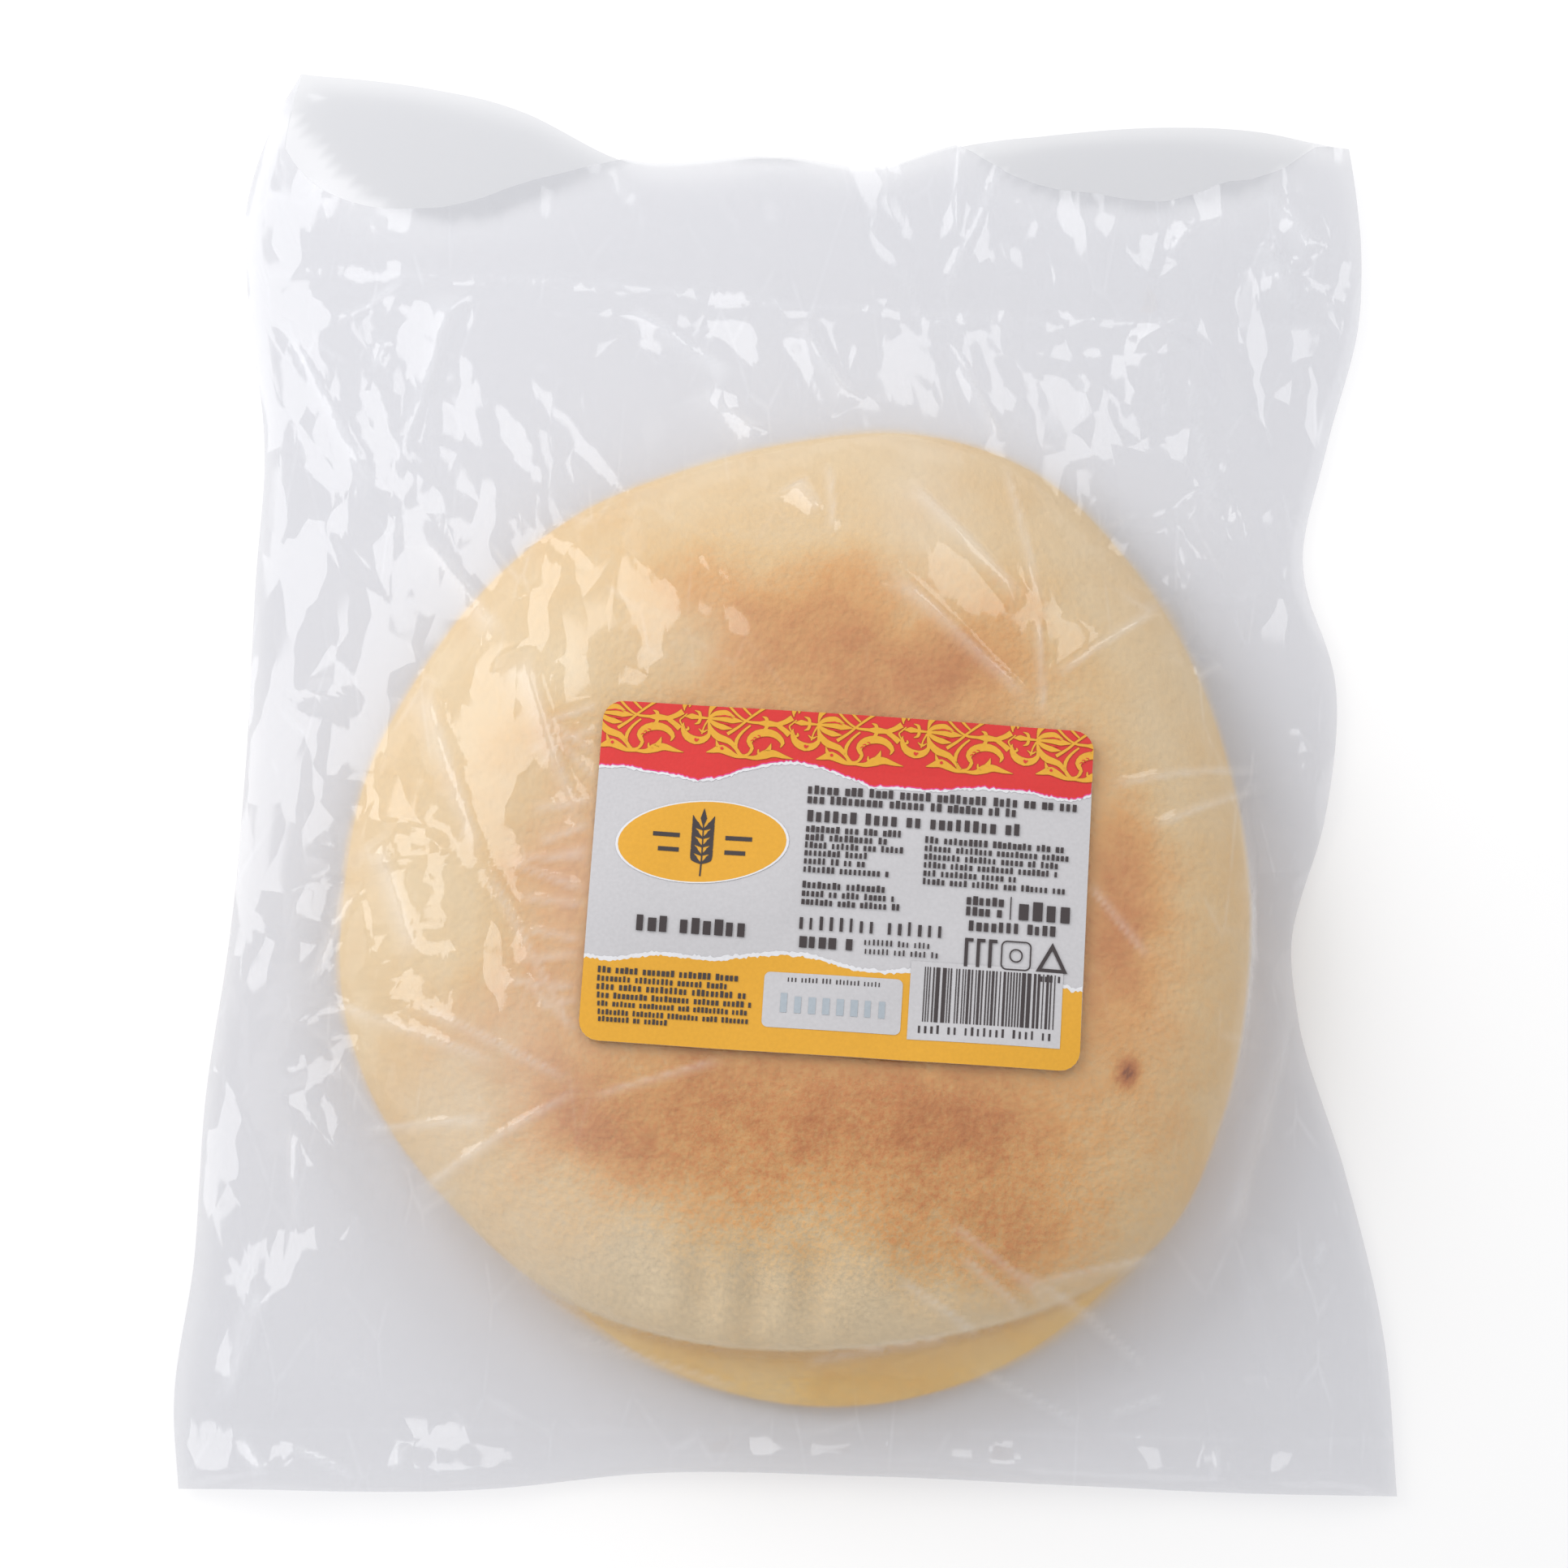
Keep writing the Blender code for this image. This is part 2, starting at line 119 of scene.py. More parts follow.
def round_bread(name, centre, rim_at, top_at, under_at):
    """A ball of even squares, pressed flat between the bread's two crusts."""
    bpy.ops.object.select_all(action="DESELECT")
    bpy.ops.mesh.primitive_cube_add(size=2.0)
    bread = bpy.context.object
    bread.name = name
    bpy.ops.object.mode_set(mode="EDIT")
    bpy.ops.mesh.subdivide(number_cuts=BREAD_CUTS)
    bpy.ops.object.mode_set(mode="OBJECT")
    ball = read_points(bread)
    ball = ball / np.linalg.norm(ball, axis=1, keepdims=True)
    flat = np.maximum(np.hypot(ball[:, 0], ball[:, 1]), 1e-6)
    out_x, out_y = ball[:, 0] / flat, ball[:, 1] / flat
    length = np.minimum(flat, 0.99999) ** RIM_CROWDING / rim_at(centre[0] + out_x, centre[1] + out_y)
    x, y = centre[0] + out_x * length, centre[1] + out_y * length
    z = np.where(ball[:, 2] > 0, top_at(x, y), under_at(x, y))
    write_points(bread, np.column_stack((x, y, z)))
    bpy.ops.object.shade_smooth()
    return bread


def new_material(name):
    """A material with empty nodes, its output and a maker of linked nodes."""
    material = bpy.data.materials.new(name)
    material.use_nodes = True
    nodes, links = material.node_tree.nodes, material.node_tree.links
    nodes.clear()
    output = nodes.new("ShaderNodeOutputMaterial")

    def node(kind, settings=None, **inputs):
        made = nodes.new("ShaderNode" + kind)
        for key, value in (settings or {}).items():
            setattr(made, key, value)
        for key, value in inputs.items():
            by_number = key[0] == "i" and key[1:].isdigit()
            socket = made.inputs[int(key[1:]) if by_number else key.replace("_", " ")]
            if isinstance(value, bpy.types.Node):
                value = value.outputs[0]
            if isinstance(value, bpy.types.NodeSocket):
                links.new(value, socket)
            else:
                socket.default_value = (*value, 1.0) if socket.type == "RGBA" else value
        return made

    def finish(surface):
        links.new(surface.outputs[0], output.inputs["Surface"])
        return material

    return node, finish


def reckon(node, operation, *values, kind="Math"):
    """A math node on the given values."""
    return node(kind, {"operation": operation}, **{f"i{k}": value for k, value in enumerate(values)})


def spread(node, value, low, high, to_low, to_high):
    """A node that lays the range low to high onto another one, and stops at its ends."""
    return node("MapRange", None, Value=value, From_Min=low, From_Max=high, To_Min=to_low, To_Max=to_high)


def painted(node, name):
    """Socket with the numbers that were painted on the piece under this name."""
    return node("Attribute", {"attribute_name": name}).outputs["Fac"]


def mix_colour(node, factor, first, second, blend="MIX"):
    """Socket of a colour mix. first and second are colours, nodes or sockets."""
    settings = {"data_type": "RGBA", "blend_type": blend}
    return node("Mix", settings, i0=factor, i6=first, i7=second).outputs[2]


def ramp(node, factor, stops):
    """Colour ramp with the given (place, colour) stops."""
    made = node("ValToRGB", None, Fac=factor)
    band = made.color_ramp.elements
    while len(band) < len(stops):
        band.new(0.5)
    for element, (place, colour) in zip(band, stops):
        element.position = place
        element.color = (*colour, 1.0)
    return made


def crust_material(name, stops):
    """Baked crust: cream to brown by the painted toast, in part painted shade, with blotches, flour grain
    and fine pits.
    """
    node, finish = new_material(name)
    place = node("TexCoord").outputs["Object"]
    toast, grain = painted(node, "toast"), painted(node, "grain")
    cloud = node("TexNoise", None, Vector=place, Scale=70.0, Detail=5.0, Roughness=0.6)
    mottle = node("TexNoise", None, Vector=place, Scale=330.0, Detail=3.0, Roughness=0.6)
    flour = node("TexNoise", None, Vector=place, Scale=1050.0, Detail=2.0, Roughness=0.7)
    drift = spread(node, cloud, 0.25, 0.75, -0.15, 0.15)
    dapple = spread(node, mottle, 0.25, 0.75, -0.12, 0.12)
    speck = spread(node, flour, 0.28, 0.72, -0.30, 0.20)
    fine = reckon(node, "MULTIPLY", reckon(node, "ADD", dapple, speck), grain)
    uneven = reckon(node, "ADD", drift, fine)
    reached = spread(node, toast, 0.0, 0.30, 0.25, 1.0)
    toast_and_shade_depth = reckon(node, "MULTIPLY_ADD", uneven, reached, toast)
    toast_and_shade_depth = spread(node, toast_and_shade_depth, 0.0, MOST_TOAST, 0.0, 1.0)
    colour = ramp(node, toast_and_shade_depth, [(toasted / MOST_TOAST, colour) for toasted, colour in stops])
    dusty = mix_colour(node, 1.0, colour, spread(node, flour, 0.35, 0.70, 0.82, 1.14), "MULTIPLY")
    colour = mix_colour(node, grain, colour, dusty)
    pits = node("TexVoronoi", None, Vector=place, Scale=650.0)
    relief = reckon(node, "MULTIPLY_ADD", flour, 0.8, pits)
    raised = spread(node, toast, 0.0, 0.45, 0.18, 0.42)
    close = node("Bump", None, Strength=raised, Distance=0.0005, Height=relief)
    wide = node("Bump", None, Strength=0.5, Distance=0.0020, Height=cloud, Normal=close)
    gloss = {"Specular_IOR_Level": 0.3, "Roughness": 0.62}
    return finish(node("BsdfPrincipled", None, Base_Color=colour, Normal=wide, **gloss))


def spot(x, y, middle_x, middle_y, wide, long):
    """1 in the middle of a soft oval patch, fading to 0 outside it. The patch is in millimetres."""
    return np.exp(-1.2 * (((1000 * x - middle_x) / wide) ** 2 + ((1000 * y - middle_y) / long) ** 2))


lower_bread = round_bread("lower_bread", LOWER_CENTRE, lower_reach, lower_top, lower_under)
spots = read_points(lower_bread)
lower_toast = 0.40 + 0.14 * soft_noise(spots[:, 0], spots[:, 1], 0.012, 21)
paint(lower_bread, "toast", np.clip(lower_toast, 0.0, 1.0))
paint(lower_bread, "grain", np.full(len(spots), 0.6))
lower_bread.data.materials.append(crust_material("crust of the lower bread", LOWER_CRUST))
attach(lower_bread, "root")
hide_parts("bag")

# Upper bread: the same dough, wider and fuller. It droops over the lower one at the back, its front
# rim has three pressed dents, and its crust runs from a cream rim to toasted patches in the middle.
# Some toast on its right side and at its front right rim is painted shade, where the light falls off.
UPPER_CENTRE = (0.001, -0.030)
UPPER_RIM = (
    0.0935, 0.0935, 0.0960, 0.0998, 0.1040, 0.1025, 0.0970, 0.0935, 0.0930, 0.0918, 0.0910, 0.0925,
    0.0935, 0.0965, 0.0975, 0.0970, 0.0982, 0.0975, 0.0968, 0.0980, 0.1018, 0.1050, 0.1000, 0.0955,
)
UPPER_THICK = 0.0205
DROOP_CENTRE = (0.0080, -0.0515)
DROOP_SQUASH = 0.955
DROOP = (0.070, 0.130)
CREAM = (0.80, 0.62, 0.38)
STRAW = (0.78, 0.52, 0.25)
GOLD = (0.74, 0.38, 0.13)
BROWN = (0.60, 0.24, 0.075)
DEEP_BROWN = (0.46, 0.155, 0.045)
SCORCH = (0.20, 0.060, 0.026)
UPPER_CRUST = (
    (0.0, CREAM), (0.30, STRAW), (0.58, GOLD), (0.82, BROWN), (1.05, DEEP_BROWN), (1.3, SCORCH),
)
RIM_DENTS = (
    (-0.0180, 0.0032, 0.0026), (-0.0075, 0.0032, 0.0036), (0.0040, 0.0030, 0.0027),
    (0.0240, 0.0060, 0.0014), (-0.0300, 0.0050, 0.0014),
)
BROWNED = (0.008, -0.034, 0.068)
# Toast patches in millimetres with a strength, where a minus strength makes the crust paler. Those on the
# right side and at the front right rim are partly painted shade.
TOAST_AND_SHADE_PATCHES = (
    (34, -80, 26, 14, 0.36), (-22, -83, 36, 14, 0.36), (2, -100, 54, 16, 0.38), (50, -97, 22, 18, 0.30),
    (44, -110, 22, 12, 0.16), (68, -86, 18, 20, 0.18), (12, 30, 26, 13, 0.20), (-30, 34, 28, 18, 0.22),
    (67, -40, 12, 32, 0.42), (80, -50, 16, 34, 0.20), (14, 12, 30, 10, 0.26), (-10, 22, 20, 9, 0.18),
    (42, 17, 18, 14, 0.26), (-62, -67, 22, 14, 0.28), (-42, -84, 24, 14, 0.20), (-50, -34, 13, 24, 0.26),
    (-40, 20, 22, 16, -0.14), (-30, -110, 30, 12, -0.14), (16, -121, 60, 9, -0.10),
)
DARK_SPOT = (67.5, -73, 2.3, 2.7)
GRAINY = (8, -100, 62, 30)
TOAST_LIMIT = 0.92


def upper_reach(x, y):
    """Distance from the upper bread's middle as a share of its uneven radius."""
    dx, dy = x - UPPER_CENTRE[0], y - UPPER_CENTRE[1]
    place = np.arctan2(dy, dx) / (2 * math.pi) * len(UPPER_RIM) % len(UPPER_RIM)
    step = np.floor(place).astype(int)
    t = place - step
    rim = np.array(UPPER_RIM)
    a, b, c, d = (rim[(step + k) % len(UPPER_RIM)] for k in (-1, 0, 1, 2))
    radius = b + t * (c - a + t * (2 * a - 5 * b + 4 * c - d + t * (3 * b - a - 3 * c + d))) / 2
    return np.hypot(dx, dy) / radius


def upper_base(x, y):
    """Underside of the upper bread, which lies on the lower one and droops past it."""
    r = np.hypot(x - DROOP_CENTRE[0], DROOP_SQUASH * (y - DROOP_CENTRE[1]))
    return TABLE_GAP + LOWER_THICK * (1 - soft_step(*DROOP, r))


def upper_top(x, y, room=0.0):
    """Upper crust of the upper bread, or of one that is wider by the share room."""
    r = np.clip(upper_reach(x, y) / (1 + room), 0.0, 1.0)
    swell = (0.0008 * soft_noise(x, y, 0.030, 5) + 0.0004 * soft_noise(x, y, 0.013, 6)) * (1 - r**8)
    dents = np.zeros_like(x)
    for middle, half, depth in RIM_DENTS:
        across = np.exp(-(((x - middle) / half) ** 2))
        dents = dents + depth * across * soft_step(-0.103, -0.119, y) * (1 - r**24)
    return upper_base(x, y) + UPPER_THICK * loaf_profile(r) + swell - dents


def upper_under(x, y):
    """Under crust of the upper bread."""
    r = np.clip(upper_reach(x, y), 0.0, 1.0)
    return upper_base(x, y) + RIM_HEIGHT * UPPER_THICK * (1 - np.sqrt(1 - r**8)) + 0.0003


upper_bread = round_bread("upper_bread", UPPER_CENTRE, upper_reach, upper_top, upper_under)
spots = read_points(upper_bread)
x, y = spots[:, 0], spots[:, 1]
wander_x = x + 0.005 * soft_noise(x, y, 0.016, 31)
wander_y = y + 0.005 * soft_noise(x, y, 0.016, 32)
away = np.hypot(wander_x - BROWNED[0], wander_y - BROWNED[1]) / BROWNED[2]
upper_toast_and_shade = 0.10 + 0.44 * (1 - soft_step(0.55, 1.18, away))
# Toast patches, partly painted shade on the right side and at the front right rim.
for *patch, strength in TOAST_AND_SHADE_PATCHES:
    upper_toast_and_shade = upper_toast_and_shade + strength * spot(wander_x, wander_y, *patch)
upper_toast_and_shade = upper_toast_and_shade + 0.06 * soft_noise(wander_x, wander_y, 0.013, 33)
upper_toast_and_shade = np.minimum(upper_toast_and_shade, TOAST_LIMIT) + spot(x, y, *DARK_SPOT)
paint(upper_bread, "toast", np.clip(upper_toast_and_shade, 0.0, MOST_TOAST))
paint(upper_bread, "grain", 0.30 + 0.70 * spot(x, y, *GRAINY))
upper_bread.data.materials.append(crust_material("crust of the upper bread", UPPER_CRUST))
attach(upper_bread, "root")
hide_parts("bag")

# Bag: two layers of clear film, folded at the sides and welded across near both ends. The front
# layer stops short of the back one at the open end, and crumples wherever no bread stretches it.
# Its edges, welds, folds and patches are given in millimetres.
LEFT_EDGE = (
    (-153.5, -124), (-139, -125.5), (-107, -122.5), (-73, -121.5), (-38, -117.5), (0, -115.5), (35, -115),
    (68, -114), (106, -119), (125, -119.5), (144, -114), (155, -108.5),
)
RIGHT_EDGE = (
    (-155, 123), (-123, 121.5), (-90, 115), (-56, 106), (-42, 105.2), (-15, 113), (15, 116.5),
    (41, 110.5), (68, 116.5), (97, 124.5), (115, 125.5), (136.5, 123.5),
)
TOP_EDGE = (
    (-108.5, 155), (-80, 151.5), (-58, 145.5), (-37, 134.5), (0, 134.5), (17, 132), (35, 137), (60, 141),
    (100, 141.5), (123.5, 136.5),
)
BOTTOM_EDGE = (
    (-124, -153.5), (-60, -153.5), (-30, -150.5), (15, -151), (60, -153), (95, -154.5), (123, -155),
)
MOUTH_EDGE = (
    (-112.5, 148), (-94.5, 127.5), (-80, 121.5), (-67.5, 121.5), (-49, 129), (-36, 133.8), (0, 134),
    (37.5, 136.8), (52, 129), (80, 124), (103, 129), (116, 137),
)
TOP_SEAL = ((-118, 107.5), (-45, 105.5), (10, 99.5), (125, 94.5))
BOTTOM_SEAL = ((-124, -142), (0, -142), (124, -144.5))
SEAL_REACH = 0.0055
WELD_LINE = 0.0009
FILM_COVER = 0.0005
EDGE_HEIGHT = 0.0034
SLACK_HEIGHT = 0.0066
SLACK_REACH = 0.024
BACK_LIFT = 0.0014
LEAST_GAP = 0.0008
LEAVES_RIM = 0.955
HANG_POWER = 1.3
HANG_FRONT = 0.6
CREASE_BLEND = 0.0011
SIDE_ROUND = 0.0035
LABEL_CENTRE = (0.0098, -0.0350)
LABEL_SIZE = (0.100, 0.070)
LABEL_TURN = math.radians(-3.7)
LABEL_CALM = 0.0035
FOLDS = (
    (-72.2, 103.8, -84, 58.5, 9.5, 0.8), (-84, 105.5, -96.1, 95.1, 3, 2),
    (-87.2, 90.8, -89.9, 82.5, 3.5, 0.8), (-109.9, 95.5, -88.3, 54.8, 2.5, 5),
    (-77.9, 45, -59.4, 19.2, 5.5, 7), (-56, 15, -42.2, -22.6, 10, 1), (-77.1, 11.5, -62, -30.5, 8, 3),
    (-61.3, -31, -43, -65.1, 3, 1.2), (-84.3, -24.3, -75, -49.8, 7, 5),
    (-89.8, -33.4, -98.1, -52.6, 6, 1.2), (-76.3, -58.2, -43.1, -75, 3, 2),
    (-96.2, -55.5, -58, -71.5, 4, 2.5), (-87.5, -82.6, -59.6, -81.7, 3, 3),
    (-76.8, -96.2, -41.7, -76, 4, 2), (-39.7, -77.8, -13.5, -70.1, 2.5, 1.5),
    (-101.1, -81.3, -100.2, -102.2, 3, 2), (-106.1, -113.7, -114.7, -137.5, 8, 4),
    (-111.2, -142.7, -105.1, -152, 3, 4), (-101.2, -144.7, -87, -152, 2.5, 2.5),
    (-78.1, -144.7, -79.6, -150.4, 2.5, 1.5), (-34.9, 99.2, -12, 82.5, 4, 7),
    (-19.8, 80, -6.6, 66.2, 10, 9), (2.1, 95, 13.5, 74.6, 5, 7), (1.1, 53.5, 6.6, 45.7, 9, 4),
    (8.6, 57.9, 9.3, 40.5, 2, 2), (24.9, 52.8, 48.2, 25.7, 4.5, 4), (46.1, 59, 51.9, 24.2, 2, 2),
    (51.3, 21.9, 52, -0.2, 2, 1.5), (35.5, 91, 44.8, 66.5, 2, 4), (47.8, 134.7, 33, 99.4, 2, 1.2),
    (37.1, 138, 36.5, 114.3, 2.8, 2.8), (26.1, 106, 29.5, 94, 3, 2), (63.6, 83.2, 63, 71.4, 3, 2),
    (79.4, 84, 81.3, 72.1, 2, 3), (85.9, 82.1, 91.7, 50.2, 3, 5), (104.8, 125.7, 116, 112.5, 6, 8),
    (104.5, 114.3, 111.1, 98.3, 8, 6), (87.1, 117.2, 83, 110.4, 4, 2), (21.2, 30.4, 49.4, 3.3, 5, 3),
    (77.1, 25.3, 54.5, 8.3, 3, 2), (99.2, -6.5, 64.9, -14.5, 3, 2), (72.1, -50.1, 59.8, -34.5, 1.5, 1.5),
    (99.6, -10, 73.7, -23.1, 3, 2), (34.1, -108.9, 46.5, -119.6, 1.5, 1.5),
    (21.5, -113.2, 37.6, -123.9, 1.5, 1.5), (37.6, -129.8, 59.6, -140.7, 1.5, 1.5),
    (31.7, -102.5, 52, -118, 1.5, 2.4), (43, -111, 64, -121.5, 2, 2.6), (49, -114, 74, -108, 2.6, 2),
    (56, -117, 72, -129, 2.4, 1.8), (-45, -123, -10, -133.5, 2, 2.6), (2, -129, 33, -124, 2.4, 2),
    (64.5, -138.8, 75.7, -135, 2, 1.5), (107.2, -109.3, 109.2, -103.7, 2.5, 2),
    (86.7, -145, 86, -152.3, 2, 2), (104, -56.8, 89.2, -105.7, 5, 5),
)
FOLD_SLOPE = 0.34
FOLD_STEEP = 0.40
FOLD_END = 0.22
LEAST_FOLD = 0.0024
CRUMPLE = ((0.024, 0.00342, 11), (0.0115, 0.00252, 23), (0.0060, 0.00117, 37))
CRUMPLE_WARP = 0.45
CRUMPLE_TURN = 0.42
CRUMPLE_STRETCH = 2.0
PLEATS = ((0.0105, 3.2, 0.00156, 61), (0.0052, 2.2, 0.00065, 62))
PLEAT_RADIUS = 0.110
PUCKERS = 15
RIPPLE = (0.0031, 0.00060, 0.0017)
FILM_ROOM = 0.010
FRONT_CELLS = (238, 292)
BACK_CELLS = (119, 146)
FILM_TINT = (0.898, 0.899, 0.911)
FLAP_TINT = (0.782, 0.785, 0.800)
FILM_SHINE = 0.040
HAZE = 0.052
CREST_MILK = 0.34
MILK = (0.92, 0.93, 0.96)
WHITE = (1.0, 1.0, 1.0)
DENTS = ((0.35, 85.0, 0.32), (-0.35, 200.0, 0.30))
TOUCHING = (6, -96, 70, 30)
STRETCHED = (8, -108, 75, 30)
# Patches of extra milky haze on the front film, in millimetres with a strength. They are partly real haze,
# where the film stands off the bread, and partly painted highlight that stands in for the film's glare
# there.
MILK_AND_GLARE_PATCHES = (
    (-45, -106, 24, 20, 0.16), (-67, -84, 20, 22, 0.14), (28, 46, 10, 20, 0.16), (-20, 15, 14, 12, 0.10),
    (-45, -32, 13, 26, 0.20), (-58, -70, 20, 18, 0.20),
)
CRINKLED = (
    (-70, -34, 36, 70, 1.3), (-104, 30, 28, 80, 1.5), (-42, 28, 36, 32, 1.5), (-88, -95, 48, 58, 1.3),
    (-92, 95, 30, 36, 0.7), (-14, 76, 34, 30, 0.9), (100, 105, 30, 34, 1.7), (96, 45, 28, 52, 2.2),
    (104, -30, 18, 60, 1.9), (106, -120, 26, 44, 1.6), (45, 100, 34, 30, 0.7),
)


def curve_through(points, at):
    """Smooth curve through (along, across) points, read at the given places along it."""
    knots = np.array(points, float)
    along, across = knots[:, 0], knots[:, 1]
    slope = np.gradient(across, along)
    i = np.clip(np.searchsorted(along, at) - 1, 0, len(along) - 2)
    span = along[i + 1] - along[i]
    t = np.clip((at - along[i]) / span, 0.0, 1.0)
    start = (2 * t**3 - 3 * t**2 + 1) * across[i] + (t**3 - 2 * t**2 + t) * span * slope[i]
    end = (-2 * t**3 + 3 * t**2) * across[i + 1] + (t**3 - t**2) * span * slope[i + 1]
    return start + end


def held(points, at):
    """An edge's or weld's place across, at places along it that are kept between its ends."""
    return curve_through(points, np.clip(1000 * at, points[0][0], points[-1][0])) / 1000


def edge_point(points, share, swap):
    """Points (x, y) along an outline edge, at shares of its length from 0 to 1."""
    along = points[0][0] + share * (points[-1][0] - points[0][0])
    place = (along / 1000, curve_through(points, along) / 1000)
    return place[::-1] if swap else place


def bag_plan(s, t):
    """Plan position of the film at shares s across and t along the bag: a patch between its edges."""
    left, right = edge_point(LEFT_EDGE, t, True), edge_point(RIGHT_EDGE, t, True)
    low, high = edge_point(BOTTOM_EDGE, s, False), edge_point(TOP_EDGE, s, False)
    corners = (BOTTOM_EDGE[0], BOTTOM_EDGE[-1], TOP_EDGE[0], TOP_EDGE[-1])
    plan = []
    for axis in range(2):
        a, b, c, d = (corner[axis] / 1000 for corner in corners)
        flat = (1 - s) * (1 - t) * a + s * (1 - t) * b + (1 - s) * t * c + s * t * d
        across = (1 - s) * left[axis] + s * right[axis]
        plan.append(across + (1 - t) * low[axis] + t * high[axis] - flat)
    return plan


def side_room(x, y):
    """How far the film is from the nearer side fold."""
    return np.maximum(np.minimum(x - held(LEFT_EDGE, y), held(RIGHT_EDGE, y) - x), 0.0)


def edge_room(x, y):
    """How far the film is from the nearest side fold or weld line."""
    ends = np.minimum(held(TOP_SEAL, x) - y, y - held(BOTTOM_SEAL, x))
    return np.maximum(np.minimum(side_room(x, y), ends), 0.0)


def weld_pinch(x, y, reach=SEAL_REACH):
    """1 on a weld line, where both films are melted together, falling to 0 beside it."""
    off_top, off_bottom = y - held(TOP_SEAL, x), y - held(BOTTOM_SEAL, x)
    return np.exp(-((np.minimum(np.abs(off_top), np.abs(off_bottom)) / reach) ** 2))


def hung_film(x, y):
    """Film that leaves the upper bread's rim and runs down to the bag's edges and welds."""
    r = np.maximum(upper_reach(x, y), LEAVES_RIM)
    out_x, out_y = x - UPPER_CENTRE[0], y - UPPER_CENTRE[1]
    rim_x = UPPER_CENTRE[0] + out_x * LEAVES_RIM / r
    rim_y = UPPER_CENTRE[1] + out_y * LEAVES_RIM / r
    crown = upper_base(rim_x, rim_y) + UPPER_THICK * loaf_profile(LEAVES_RIM)
    distance = np.maximum(np.hypot(out_x, out_y), 1e-6)
    away = distance * (1 - LEAVES_RIM / r)
    room = edge_room(x, y)
    share = room / np.maximum(room + away, 1e-6)
    forward = np.clip(-out_y / distance, 0.0, 1.0)
    power = HANG_POWER + HANG_FRONT * forward**2
    return EDGE_HEIGHT + (crown - EDGE_HEIGHT) * share**power


def bread_cover(x, y):
    """Film over the two breads, lying on them and hanging from the upper one's rim."""
    upper = np.where(upper_reach(x, y) < 1 + FILM_ROOM, upper_top(x, y, FILM_ROOM), 0.0)
    lower = np.where(lower_reach(x, y) < 1 + FILM_ROOM, lower_top(x, y, FILM_ROOM), 0.0)
    return np.maximum(np.maximum(upper, lower), hung_film(x, y)) + FILM_COVER


def facets(x, y, spacing, seed):
    """Crumpled sheet of flat facets with straight creases, from -1 to 1."""
    heights = np.random.RandomState(seed).uniform(-1, 1, (64, 64))
    u = (x - y / math.sqrt(3)) / spacing
    v = 2 * y / math.sqrt(3) / spacing
    column, row = np.floor(u).astype(int), np.floor(v).astype(int)
    a, b = u - column, v - row

    def corner(i, j):
        return heights[(column + i) % 64, (row + j) % 64]

    low = (1 - a - b) * corner(0, 0) + a * corner(1, 0) + b * corner(0, 1)
    high = (a + b - 1) * corner(1, 1) + (1 - a) * corner(0, 1) + (1 - b) * corner(1, 0)
    return np.where(a + b <= 1, low, high)


def crumple(x, y):
    """Long facets of several sizes that run down to the right, each size's creases bent by the others."""
    cosine, sine = math.cos(CRUMPLE_TURN), math.sin(CRUMPLE_TURN)
    x, y = x * cosine + y * sine, (y * cosine - x * sine) / CRUMPLE_STRETCH
    total = np.zeros_like(x)
    for spacing, height, seed in CRUMPLE:
        shift = CRUMPLE_WARP * spacing
        bent_x = x + shift * facets(x, y, 1.7 * spacing, seed + 1)
        bent_y = y + shift * facets(x, y, 1.7 * spacing, seed + 2)
        total = total + height * facets(bent_x, bent_y, spacing, seed)
    return total


def pleats(x, y):
    """Long facets that run out from the breads to the bag's sides."""
    dx, dy = x - UPPER_CENTRE[0], y - UPPER_CENTRE[1]
    around = np.arctan2(dy, dx) * PLEAT_RADIUS
    total = np.zeros_like(x)
    for spacing, longer, height, seed in PLEATS:
        wander = 0.3 * spacing * facets(x, y, 2.3 * spacing, seed + 5)
        total = total + height * facets(around + wander, np.hypot(dx, dy) / longer, spacing, seed)
    return total * soft_step(0.60, 0.95, upper_reach(x, y))


def crinkle_share(x, y):
    """How crumpled the film is at a place, from a calm 0.3 to 1."""
    share = np.full_like(x, 0.30)
    for middle_x, middle_y, wide, long, strength in CRINKLED:
        share = np.maximum(share, strength * spot(x, y, middle_x, middle_y, 1.3 * wide, 1.3 * long))
    return share * (1 - 0.9 * spot(x, y, *STRETCHED))


def fold_share(x, y, fold):
    """One straight fold: 1 on its sharp crest, 0 past its broad flank and its steep one. Also its width."""
    x0, y0, x1, y1, start_width, end_width = fold
    run_x, run_y = x1 - x0, y1 - y0
    length = math.hypot(run_x, run_y)
    u = ((x - x0) * run_x + (y - y0) * run_y) / length**2
    side = ((y - y0) * run_x - (x - x0) * run_y) / length
    width = np.maximum(start_width + (end_width - start_width) * np.clip(u, 0.0, 1.0), LEAST_FOLD)
    across = np.where(side < 0, 1 + side / width, 1 - side / (FOLD_STEEP * width))
    ends = np.minimum((u + 0.05) / FOLD_END, (1.05 - u) / FOLD_END)
    return np.clip(np.minimum(across, ends), 0.0, 1.0), width


def label_place(x, y):
    """Places in the label's own directions, from its middle."""
    dx, dy = x - LABEL_CENTRE[0], y - LABEL_CENTRE[1]
    cosine, sine = math.cos(LABEL_TURN), math.sin(LABEL_TURN)
    return dx * cosine + dy * sine, dy * cosine - dx * sine


def table_place(along, across):
    """Places on the table from places in the label's own directions."""
    cosine, sine = math.cos(LABEL_TURN), math.sin(LABEL_TURN)
    x = LABEL_CENTRE[0] + along * cosine - across * sine
    return x, LABEL_CENTRE[1] + along * sine + across * cosine


